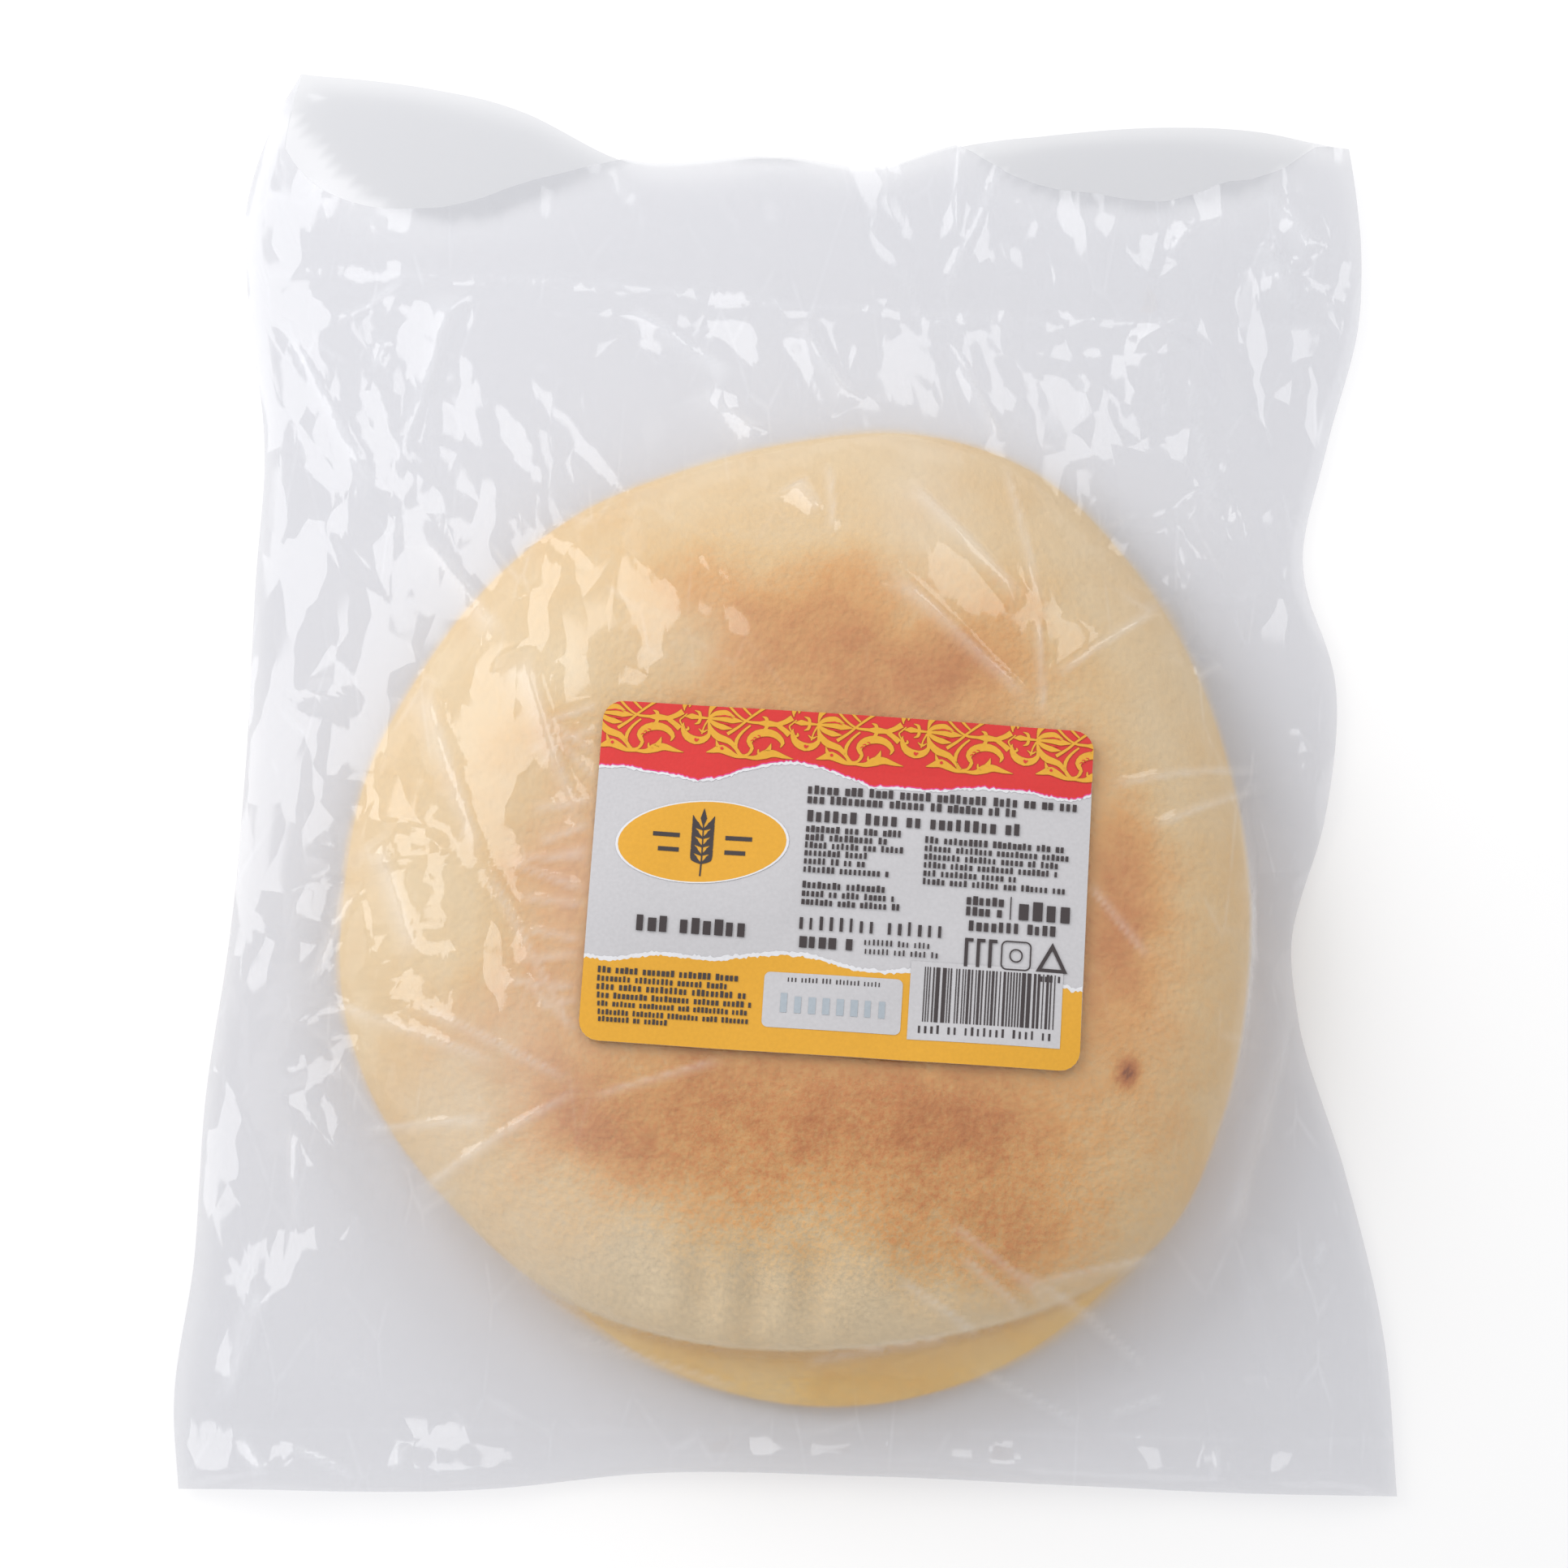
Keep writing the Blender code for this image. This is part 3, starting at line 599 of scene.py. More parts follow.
def label_puckers():
    """Short folds that run out from the label's left edge, where it holds the film back."""
    random = np.random.RandomState(81)
    folds = []
    for across in np.linspace(-0.033, 0.033, PUCKERS):
        start = across + random.uniform(-0.0015, 0.0015)
        out = random.uniform(0.007, 0.017)
        x0, y0 = table_place(-0.0505, start)
        x1, y1 = table_place(-0.0505 - out, start + random.uniform(-0.006, 0.010))
        folds.append((x0, y0, x1, y1, random.uniform(0.0012, 0.0024), 0.0009))
    return folds


all_folds = [[value / 1000 for value in fold] for fold in FOLDS] + label_puckers()


def fold_heights(x, y):
    """How high the folds lift the film."""
    lift = np.zeros_like(x)
    for fold in all_folds:
        share, width = fold_share(x, y, fold)
        lift = np.maximum(lift, FOLD_SLOPE * width * share)
    return lift


def fold_crests(x, y):
    """1 on the folds' crests, where the film is seen edge on and looks milky, fading on the flanks."""
    return np.max([fold_share(x, y, fold)[0] for fold in all_folds], axis=0) ** 2


def weld_ripple(x, y):
    """Small even puckers that the hot bar leaves along each weld."""
    pitch, height, reach = RIPPLE
    wave = np.abs((x + 0.4 * pitch * soft_noise(x, y, 0.011, 83)) / pitch % 1.0 - 0.35)
    strong = 0.45 + 0.55 * soft_noise(x, y, 0.019, 84)
    return height * wave * strong * weld_pinch(x, y, reach)


def weld_line(x, y):
    """1 on the thin milky line of each weld, broken into short dashes."""
    return weld_pinch(x, y, WELD_LINE) * np.clip(0.6 + 0.8 * soft_noise(x, y, 0.0045, 85), 0.0, 1.0)


def label_share(x, y):
    """1 under the label, falling to 0 a little way outside its edge."""
    along, across = label_place(x, y)
    out = np.maximum(np.abs(along) - LABEL_SIZE[0] / 2, np.abs(across) - LABEL_SIZE[1] / 2)
    return 1 - soft_step(0.0005, LABEL_CALM, out)


def back_film(x, y, t):
    """Bottom layer: flat on the table under the breads, lifting a little towards its edges."""
    rest = soft_step(1.02, 1.30, lower_reach(x, y))
    wave = 0.5 + 0.5 * np.sin(55 * x + 1.0) * np.cos(48 * y + 0.6)
    lift = BACK_LIFT * wave + 0.0006 + 0.002 * soft_step(0.90, 1.0, t) + 0.0008 * facets(x, y, 0.017, 71)
    return np.maximum(rest * lift, 0.0) + 0.0002


def front_film(x, y, t):
    """Top layer: over the breads, slack round them, with its folds and crumples."""
    pinch = weld_pinch(x, y)
    puff = soft_step(0.0, SLACK_REACH, side_room(x, y))
    broad = 1 + 0.22 * np.sin(38 * x + 0.4) * np.sin(31 * y + 1.1)
    slack = (EDGE_HEIGHT + (SLACK_HEIGHT - EDGE_HEIGHT) * puff * broad) * (1 - 0.45 * pinch)
    cover = bread_cover(x, y)
    film = (slack + cover + np.sqrt((slack - cover) ** 2 + CREASE_BLEND**2)) / 2
    on_bread = 1 - soft_step(0.85, 1.15, upper_reach(x, y))
    rough = crumple(x, y) * (1 - 0.45 * on_bread) + pleats(x, y)
    rough = rough * crinkle_share(x, y) * (0.35 + 0.65 * puff) * (1 - 0.5 * pinch)
    lifted = fold_heights(x, y) * (1 - 0.6 * pinch) + rough
    film = film + (1 - label_share(x, y)) * lifted + weld_ripple(x, y)
    return np.maximum(film, cover)


def film_sheet(name, cells, front):
    """One layer of film: a grid laid into the bag's outline and lifted, the front one up to the mouth."""
    bpy.ops.object.select_all(action="DESELECT")
    bpy.ops.mesh.primitive_grid_add(x_subdivisions=cells[0], y_subdivisions=cells[1], size=1.0)
    sheet = bpy.context.object
    sheet.name = name
    flat = read_points(sheet) + 0.5
    s, t = np.clip(flat[:, 0], 0, 1), np.clip(flat[:, 1], 0, 1)
    if front:
        t = t * mouth_share(s)
    x, y = bag_plan(s, t)
    write_points(sheet, np.column_stack((x, y, closed_heights(x, y, t, front))))
    bpy.ops.object.shade_smooth()
    return sheet


def mouth_share(s):
    """How far along the bag the front layer reaches, by its place across."""
    x, high = edge_point(TOP_EDGE, s, False)
    low = edge_point(BOTTOM_EDGE, s, False)[1]
    mouth = np.minimum(held(MOUTH_EDGE, x), high - 0.0005)
    return 1 - (high - mouth) / (high - low) * np.clip(np.minimum(s, 1 - s) / 0.02, 0, 1)


def closed_heights(x, y, t, front):
    """Height of one layer, drawn to the other at the side folds and at the bottom edge."""
    lower = back_film(x, y, t)
    upper = np.maximum(front_film(x, y, t), lower + LEAST_GAP)
    middle = (lower + upper) / 2
    room = np.minimum(side_room(x, y), y - held(BOTTOM_EDGE, x))
    share = np.sqrt(np.clip(room / SIDE_ROUND, 0.0, 1.0))
    return middle + ((upper if front else lower) - middle) * share


def glossy_film(node, body, plain, **dented):
    """Film seen straight as body with a glossy face, and by any other light as plain tinted film."""
    gloss = node("BsdfAnisotropic", None, Color=WHITE, Roughness=0.10, **dented)
    slant = node("LayerWeight", None, Blend=0.5).outputs["Facing"]
    shine = reckon(node, "MULTIPLY_ADD", reckon(node, "POWER", slant, 5.0), 1 - FILM_SHINE, FILM_SHINE)
    whole = node("MixShader", None, i0=shine, i1=body, i2=gloss)
    seen = node("LightPath").outputs["Is Camera Ray"]
    return node("MixShader", None, i0=seen, i1=plain, i2=whole)


def back_film_material(name):
    """The smooth bottom layer: clear film with a faint haze, greyer where it lies alone as a flap."""
    node, finish = new_material(name)
    tint = mix_colour(node, painted(node, "single"), FILM_TINT, FLAP_TINT)
    plain = node("BsdfTransparent", None, Color=tint)
    veil = node("BsdfDiffuse", None, Color=MILK)
    return finish(glossy_film(node, node("MixShader", None, i0=HAZE, i1=plain, i2=veil), plain))


def dented_face(node, place):
    """The film's face direction, tilted by two layers of small flat dents wherever it hangs loose."""
    bend = node("TexNoise", {"noise_dimensions": "2D"}, Vector=place, Scale=90.0, Detail=1.0)
    shift = (0.004, 0.004, 0.0)
    warped = reckon(node, "MULTIPLY_ADD", bend.outputs["Color"], shift, place, kind="VectorMath")
    tilts = []
    for turn, scale, amount in DENTS:
        laid = node("Mapping", None, Vector=warped, Rotation=(0, 0, turn), Scale=(1.0, 0.33, 1.0))
        cell = node("TexVoronoi", {"voronoi_dimensions": "2D"}, Vector=laid, Scale=scale).outputs["Color"]
        lean = reckon(node, "SUBTRACT", cell, (0.5, 0.5, 0.5), kind="VectorMath")
        tilts.append(reckon(node, "MULTIPLY", lean, (amount, amount, 0.0), kind="VectorMath"))
    tilt = reckon(node, "ADD", *tilts, kind="VectorMath")
    tilt = node("VectorMath", {"operation": "SCALE"}, i0=tilt, Scale=painted(node, "loose"))
    bent = reckon(node, "ADD", node("NewGeometry").outputs["Normal"], tilt, kind="VectorMath")
    return reckon(node, "NORMALIZE", bent, kind="VectorMath")


def film_material(name):
    """Clear film: mostly see-through, a faint milky haze, fine creases, a glossy face and flat dents."""
    node, finish = new_material(name)
    place = node("TexCoord").outputs["Object"]
    # Milky haze. In its patches it is partly painted highlight that stands in for glare.
    veiled = painted(node, "veiled")
    bent = dented_face(node, place)
    long_cells = node("Mapping", None, Vector=place, Rotation=(0, 0, 0.5), Scale=(1.0, 0.33, 1.0))
    border = {"feature": "DISTANCE_TO_EDGE", "voronoi_dimensions": "2D"}
    border = node("TexVoronoi", border, Vector=long_cells, Scale=95.0)
    crease = spread(node, border, 0.0, 0.05, 1.0, 0.0)
    patchy = node("TexNoise", {"noise_dimensions": "2D"}, Vector=place, Scale=60.0, Detail=2.0)
    creased = reckon(node, "MULTIPLY", crease, spread(node, patchy, 0.50, 0.66, 0.0, 0.16))
    milky = reckon(node, "MULTIPLY_ADD", creased, painted(node, "loose"), veiled)
    plain = node("BsdfTransparent", None, Color=FILM_TINT)
    smeared = node("BsdfRefraction", None, Color=FILM_TINT, Roughness=0.75, IOR=1.2)
    clear = node("MixShader", None, i0=spread(node, veiled, 0.0, 0.05, 0.0, 0.65), i1=plain, i2=smeared)
    milk = node("BsdfTranslucent", None, Color=MILK)
    veil = node("BsdfDiffuse", None, Color=MILK, Normal=bent)
    haze = node("MixShader", None, i0=0.5, i1=milk, i2=veil)
    body = node("MixShader", None, i0=milky, i1=clear, i2=haze)
    return finish(glossy_film(node, body, plain, Normal=bent))


bag_front = film_sheet("bag_front", FRONT_CELLS, True)
spots = read_points(bag_front)
x, y = spots[:, 0], spots[:, 1]
touching = 1 - soft_step(0.80, 1.10, upper_reach(x, y))
crinkled = crinkle_share(x, y) * (1 - 0.35 * touching)
paint(bag_front, "loose", np.clip(crinkled + 0.8 * weld_pinch(x, y), 0.0, 1.5))
lies_on = np.clip(1.3 * spot(x, y, *TOUCHING), 0.0, 1.0)
lies_on = lies_on * (1 - soft_step(0.90, 1.02, upper_reach(x, y)))
veiled = HAZE * (1 - 0.92 * lies_on) + 0.10 * weld_line(x, y) + CREST_MILK * fold_crests(x, y)
# Extra milk in the patches brightens the bread beneath as glare would, so it is partly painted highlight.
for *patch, strength in MILK_AND_GLARE_PATCHES:
    veiled = veiled + strength * spot(x, y, *patch)
paint(bag_front, "veiled", veiled)

bag_back = film_sheet("bag_back", BACK_CELLS, False)
bpy.ops.object.mode_set(mode="EDIT")
bpy.ops.mesh.select_all(action="SELECT")
bpy.ops.mesh.flip_normals()
bpy.ops.object.mode_set(mode="OBJECT")
spots = read_points(bag_back)
paint(bag_back, "single", soft_step(-0.0005, 0.0005, spots[:, 1] - held(MOUTH_EDGE, spots[:, 0])))
crumpled_film, smooth_film = film_material("clear front film"), back_film_material("clear back film")
for sheet, film in ((bag_front, crumpled_film), (bag_back, smooth_film)):
    sheet.data.materials.append(film)
    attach(sheet, "root")
    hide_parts("bag")

# Label: white paper with a faint sheen, printed in red, yellow and black, and stuck on the film.
# It bends with the bread under it.
LABEL_CORNER = 4.0
LABEL_THICK = 0.0003
INK = 0.00004
LABEL_GAP = 0.0006
LABEL_CELLS = (25, 18)
PAPER_WHITE = (0.56, 0.55, 0.57)
PAPER_ROUGHNESS = 0.42

along = np.linspace(-0.5, 0.5, LABEL_CELLS[0] + 1) * LABEL_SIZE[0]
across = np.linspace(-0.5, 0.5, LABEL_CELLS[1] + 1) * LABEL_SIZE[1]
lattice = bread_cover(*table_place(*np.meshgrid(along, across, indexing="ij"))) + LABEL_GAP


def label_height(along, across):
    """Underside of the label over the table, even between the corners of a cell."""
    u = np.clip((along / LABEL_SIZE[0] + 0.5) * LABEL_CELLS[0], 0, LABEL_CELLS[0] - 1e-6)
    v = np.clip((across / LABEL_SIZE[1] + 0.5) * LABEL_CELLS[1], 0, LABEL_CELLS[1] - 1e-6)
    i, j = u.astype(int), v.astype(int)
    a, b = u - i, v - j
    near = (1 - a) * lattice[i, j] + a * lattice[i + 1, j]
    far = (1 - a) * lattice[i, j + 1] + a * lattice[i + 1, j + 1]
    return (1 - b) * near + b * far


def rounded_box(left, low, right, high, corner, steps=6):
    """Outline of a rectangle with round corners, anticlockwise."""
    points = []
    for quarter in range(4):
        middle_x = right - corner if quarter in (0, 3) else left + corner
        middle_y = high - corner if quarter in (0, 1) else low + corner
        for step in range(steps + 1):
            angle = math.pi / 2 * (quarter + step / steps)
            points.append((middle_x + corner * math.cos(angle), middle_y + corner * math.sin(angle)))
    return points


def lay_on_label(name, outlines, layer, material, thick=0.0, rise=0.0):
    """Filled flat outlines, in millimetres from the label's top left corner, bent onto the label.

    They lie on top of this many layers of ink, each outline higher than the one before it by rise.
    """
    height = LABEL_THICK + layer * INK
    form = bmesh.new()
    for number, outline in enumerate(outlines):
        corners = []
        for u, v in outline:
            flat_place = (u / 1000 - LABEL_SIZE[0] / 2, LABEL_SIZE[1] / 2 - v / 1000, number * rise)
            corners.append(form.verts.new(flat_place))
        form.faces.new(corners).normal_update()
    bmesh.ops.triangulate(form, faces=form.faces[:], ngon_method="EAR_CLIP")
    for axis, direction in ((0, (1, 0, 0)), (1, (0, 1, 0))):
        for k in range(1, LABEL_CELLS[axis]):
            cut = Vector((0, 0, 0))
            cut[axis] = LABEL_SIZE[axis] * (k / LABEL_CELLS[axis] - 0.5)
            everything = form.verts[:] + form.edges[:] + form.faces[:]
            bmesh.ops.bisect_plane(form, geom=everything, dist=1e-7, plane_co=cut, plane_no=direction)
    bmesh.ops.dissolve_degenerate(form, dist=1e-7, edges=form.edges[:])
    for face in form.faces:
        face.normal_update()
        if face.normal.z < 0:
            face.normal_flip()
    mesh = bpy.data.meshes.new(name)
    form.to_mesh(mesh)
    form.free()
    piece = bpy.data.objects.new(name, mesh)
    bpy.context.scene.collection.objects.link(piece)
    flat = read_points(piece)
    x, y = table_place(flat[:, 0], flat[:, 1])
    write_points(piece, np.column_stack((x, y, label_height(flat[:, 0], flat[:, 1]) + flat[:, 2] + height)))
    piece.data.materials.append(material)
    bpy.ops.object.select_all(action="DESELECT")
    piece.select_set(True)
    bpy.context.view_layer.objects.active = piece
    if thick:
        wall = piece.modifiers.new("paper", "SOLIDIFY")
        wall.thickness = thick
        wall.offset = -1.0
        bpy.ops.object.modifier_apply(modifier=wall.name)
    bpy.ops.object.shade_smooth_by_angle(angle=math.radians(30.0))
    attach(piece, "root")
    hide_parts("label")
    return piece


def paper_material(name, colour):
    """Printed paper: even ink over a faint fibre grain, with a soft sheen."""
    node, finish = new_material(name)
    place = node("TexCoord").outputs["Object"]
    fibre = node("TexNoise", None, Vector=place, Scale=1400.0, Detail=3.0)
    tone = mix_colour(node, 1.0, colour, spread(node, fibre, 0.3, 0.7, 0.96, 1.03), "MULTIPLY")
    bump = node("Bump", None, Strength=0.15, Distance=0.0002, Height=fibre)
    return finish(node("BsdfPrincipled", None, Base_Color=tone, Roughness=PAPER_ROUGHNESS, Normal=bump))


white_paper = paper_material("white label paper", PAPER_WHITE)
lay_on_label("label_paper", [rounded_box(0, 0, 100, 70, LABEL_CORNER)], 0, white_paper, LABEL_THICK)

# Red band: the top of the print, in red ink down to a torn edge that has a pink line and a pale rim.
RED = (0.66, 0.026, 0.024)
PINK = (0.76, 0.05, 0.26)
PALE_RIM = (0.74, 0.74, 0.77)
RED_EDGE = (
    (0, 13.5), (5, 13.3), (10, 14.0), (14, 14.3), (17, 14.8), (20, 15.5), (25, 14.5), (30, 12.3),
    (35, 10.8), (40, 10.3), (45, 11.0), (50, 12.6), (53, 13.4), (55, 14.5), (60, 14.2), (65, 14.3),
    (70, 14.2), (73, 13.4), (78, 13.1), (83, 13.2), (87, 13.2), (92, 14.0), (96, 14.3), (100, 12.9),
)
TEAR = 0.35


def torn_edge(points, seed, lower=0.0):
    """A torn line through the points: their straight runs with small uneven teeth."""
    random = np.random.RandomState(seed)
    across = np.arange(0, 100.01, 0.45)
    knots = np.array(points, float)
    down = np.interp(across, knots[:, 0], knots[:, 1])
    down = down + TEAR * random.uniform(-1, 1, len(across)) * random.uniform(0.2, 1, len(across))
    return [(float(u), float(v) + lower) for u, v in zip(across, down)]


def corner_arc(middle_u, middle_v, start, end, steps=6):
    """Points of a label corner's quarter circle."""
    angles = np.linspace(math.radians(start), math.radians(end), steps)
    return [(middle_u + LABEL_CORNER * math.cos(a), middle_v - LABEL_CORNER * math.sin(a)) for a in angles]


red_ink = paper_material("red ink on paper", RED)
pale_rim = paper_material("bare torn rim", PALE_RIM)
torn = torn_edge(RED_EDGE, 51)
red_outline = corner_arc(96, 4, 0, 90) + corner_arc(4, 4, 90, 180) + torn
lay_on_label("red_band", [red_outline], 3, red_ink)
lay_on_label("red_rim", [torn + torn_edge(RED_EDGE, 53, 0.75)[::-1]], 2, pale_rim)
pink_ink = paper_material("pink ink on paper", PINK)
pink_line = [(u, v + 0.24) for u, v in torn]
lay_on_label("pink_line", [torn + pink_line[::-1]], 3, pink_ink)

# Ornament: a traditional scroll of leaves and lilies in yellow with a thin dark edge, printed along
# the red band. One repeat is drawn with pen strokes, each a row of knots with a place along and down
# the label and a width in millimetres, and is set five times.
YELLOW = (0.74, 0.37, 0.026)
EDGE_INK = (0.48, 0.085, 0.008)
REPEAT = 22.3
FIRST_REPEAT = -6.1
REPEATS = 5
SCROLL_AXIS = 2.55
DARK_EDGE = 0.12
RISE = 2e-7
CRESCENT = (
    (
        (0.3, 3.8, 0.1), (0.2, 5.0, 0.8), (1.1, 6.6, 1.5), (2.9, 7.4, 1.7), (4.6, 7.1, 1.3),
        (5.6, 6.0, 0.8), (5.3, 5.0, 0.1),
    ),
    ((0.3, 4.4, 0.3), (0.7, 5.3, 0.4), (1.3, 5.1, 0.5), (1.2, 4.6, 0.2)),
)
STEM = (
    (5.3, 3.0, 0.2), (5.8, 4.8, 1.0), (7.4, 6.4, 1.5), (9.8, 7.2, 1.2), (11.2, 8.6, 0.7),
    (12.3, 9.9, 0.6), (13.4, 10.3, 0.5),
)
RING = (
    (13.9, 3.6, 0.35), (12.4, 5.0, 0.5), (11.3, 6.8, 0.7), (11.3, 8.8, 0.6), (12.4, 10.0, 0.5),
    (13.8, 9.7, 0.5), (14.5, 8.4, 0.7), (14.1, 7.2, 0.4),
)
SCROLL = (
    *CRESCENT,
    STEM,
    RING,
    ((0.5, 2.5, 0.1), (1.8, 2.4, 1.2), (3.2, 2.5, 0.7), (5.4, 2.6, 0.3)),
    ((3.6, 2.3, 0.6), (3.3, 1.5, 0.6), (2.4, 1.1, 0.1)),
    ((3.6, 2.8, 0.6), (3.3, 3.6, 0.6), (2.5, 4.0, 0.1)),
    ((4.1, 6.0, 0.3), (4.5, 4.4, 0.3), (5.2, 3.0, 0.4)),
    ((3.4, 4.9, 0.1), (4.3, 5.5, 0.5), (5.3, 5.0, 0.1)),
    ((5.2, 2.5, 0.4), (6.8, 1.5, 1.0), (8.8, 1.3, 1.2), (10.6, 2.0, 0.1)),
    ((5.4, 2.6, 0.4), (8.0, 2.6, 0.9), (10.2, 2.7, 1.4), (12.4, 2.9, 0.1)),
    ((5.2, 2.7, 0.4), (6.6, 3.7, 1.0), (8.4, 4.3, 1.2), (10.2, 4.5, 0.1)),
    ((9.0, -0.6, 0.5), (11.2, 1.6, 0.45), (13.2, 2.8, 0.45), (15.9, 3.0, 0.6)),
    ((9.3, 5.7, 0.7), (11.6, 4.0, 0.5), (13.4, 2.3, 0.45), (15.6, 0.5, 0.5), (17.0, -0.6, 0.7)),
    ((15.5, 3.0, 0.5), (17.2, 3.0, 1.4), (19.0, 3.1, 0.9), (20.4, 3.3, 1.6)),
    ((17.3, 3.0, 0.8), (17.0, 2.0, 0.7), (16.2, 1.6, 0.1)),
    ((17.3, 3.1, 0.8), (17.0, 4.1, 0.7), (16.2, 4.5, 0.1)),
    ((19.6, 3.0, 0.9), (21.0, 2.4, 1.0), (22.3, 1.5, 1.2)),
    ((19.6, 3.4, 0.9), (20.8, 4.2, 1.0), (21.9, 5.1, 1.2)),
    ((23.2, 1.9, 0.25), (22.4, 2.7, 0.28), (21.8, 3.4, 0.3), (22.3, 4.4, 0.28), (22.9, 5.3, 0.25)),
    (
        (14.2, 8.2, 0.4), (13.9, 6.8, 1.3), (15.0, 5.5, 1.6), (17.2, 4.9, 1.6), (19.3, 5.4, 1.3),
        (20.6, 6.8, 0.9), (20.2, 7.9, 0.1),
    ),
    (
        (5.3, 9.8, 0.1), (6.6, 9.4, 0.9), (8.2, 8.9, 1.8), (9.8, 9.5, 1.4), (11.4, 10.2, 0.8),
        (13.4, 10.3, 0.5),
    ),
    ((7.8, 8.8, 0.9), (7.4, 8.0, 0.6), (7.1, 7.0, 0.05)),
    (
        (13.4, 10.3, 0.5), (15.4, 10.3, 0.9), (17.2, 9.5, 1.9), (19.0, 9.2, 1.4), (21.0, 9.7, 0.8),
        (23.0, 10.1, 0.05),
    ),
    ((17.3, 9.3, 1.2), (18.0, 8.2, 0.8), (18.3, 7.1, 0.05)),
    ((16.8, 9.6, 0.6), (15.9, 9.3, 0.5), (15.8, 8.5, 0.2)),
)
MIRRORED = (*CRESCENT, STEM, RING)
SLITS = (
    ((7.0, 2.1, 0.1), (8.6, 1.9, 0.35), (10.2, 2.3, 0.1)),
    ((7.0, 3.2, 0.1), (8.6, 3.5, 0.35), (10.0, 3.7, 0.1)),
    ((2.8, 7.0, 0.35), (3.1, 7.4, 0.6), (3.6, 7.1, 0.2)),
    ((8.1, 8.8, 0.3), (8.4, 8.8, 0.7), (8.7, 8.9, 0.3)),
    ((14.1, 6.9, 0.1), (14.6, 6.6, 0.25), (15.0, 6.9, 0.1)),
    ((14.6, 6.2, 0.1), (15.1, 6.1, 0.25), (15.5, 6.5, 0.1)),
    ((15.4, 5.6, 0.1), (15.9, 5.7, 0.25), (16.1, 6.1, 0.1)),
)


def pen_stroke(knots, edge=0.0, steps=15):
    """Outline of one pen stroke, a smooth path through its knots, wider by edge on each side."""
    knots = np.array(knots, float)
    share = np.linspace(0.0, 1.0, len(knots))
    at = np.linspace(0.0, 1.0, steps)
    u = curve_through(np.column_stack((share, knots[:, 0])), at)
    v = curve_through(np.column_stack((share, knots[:, 1])), at)
    run_u, run_v = np.gradient(u), np.gradient(v)
    length = np.maximum(np.hypot(run_u, run_v), 1e-9)
    half = np.interp(at, share, knots[:, 2]) / 2 + edge
    left = zip(u - run_v / length * half, v + run_u / length * half)
    right = zip(u + run_v / length * half, v - run_u / length * half)
    return [(float(a), float(b)) for a, b in [*left, *list(right)[::-1]]]


def kept_on_label(outline):
    """The part of an outline that lies on the label."""
    border = rounded_box(0, 0, 100, 70, LABEL_CORNER)
    for (u0, v0), (u1, v1) in zip(border, border[1:] + border[:1]):
        kept = []
        for (u, v), (next_u, next_v) in zip(outline, outline[1:] + outline[:1]):
            here = (u1 - u0) * (v - v0) - (v1 - v0) * (u - u0)
            there = (u1 - u0) * (next_v - v0) - (v1 - v0) * (next_u - u0)
            if here >= 0:
                kept.append((u, v))
            if (here >= 0) != (there >= 0):
                t = here / (here - there)
                kept.append((u + t * (next_u - u), v + t * (next_v - v)))
        outline = kept
    return outline


def scroll_outlines(strokes, mirrored, edge):
    """The strokes of all repeats, as far as they lie on the label."""
    drawn = [pen_stroke(knots, edge) for knots in strokes]
    for knots in mirrored:
        drawn.append([(u, 2 * SCROLL_AXIS - v) for u, v in pen_stroke(knots, edge)])
    laid = []
    for k in range(REPEATS):
        shift = FIRST_REPEAT + k * REPEAT
        laid += [kept_on_label([(u + shift, v) for u, v in outline]) for outline in drawn]
    return [outline for outline in laid if len(outline) > 2]


yellow_ink = paper_material("yellow ink on paper", YELLOW)
edge_ink = paper_material("dark edge of the scroll", EDGE_INK)
lay_on_label("scroll_edge", scroll_outlines(SCROLL, MIRRORED, DARK_EDGE), 4, edge_ink, rise=RISE)
lay_on_label("scroll", scroll_outlines(SCROLL, MIRRORED, 0.0), 6, yellow_ink, rise=RISE)
lay_on_label("scroll_slits", scroll_outlines(SLITS, (), 0.0), 8, red_ink, rise=RISE)

# Yellow band: the foot of the print, in yellow ink up to another torn edge, with a white window for
# a date stamp and a white window for bars.
YELLOW_EDGE = (
    (0, 53.5), (5, 53.8), (9, 53.2), (14, 52.1), (20, 52.3), (26, 52.5), (30, 51.8), (35, 51.0),
    (40, 50.4), (45, 50.6), (50, 51.8), (55, 52.8), (60, 53.0), (65, 52.4), (80, 53.0), (96, 53.4),
    (98, 54.0), (100, 53.6),
)
torn = torn_edge(YELLOW_EDGE, 52)
yellow_outline = torn + corner_arc(96, 66, 0, -90) + corner_arc(4, 66, -90, -180)
lay_on_label("yellow_band", [yellow_outline], 3, yellow_ink)
lay_on_label("yellow_rim", [torn_edge(YELLOW_EDGE, 54, -0.8) + torn[::-1]], 2, pale_rim)
lay_on_label("date_window", [rounded_box(36.3, 53.9, 64.0, 65.0, 1.2)], 5, white_paper)
lay_on_label("bar_window", [rounded_box(65.4, 50.0, 95.9, 65.7, 0.05)], 5, white_paper)

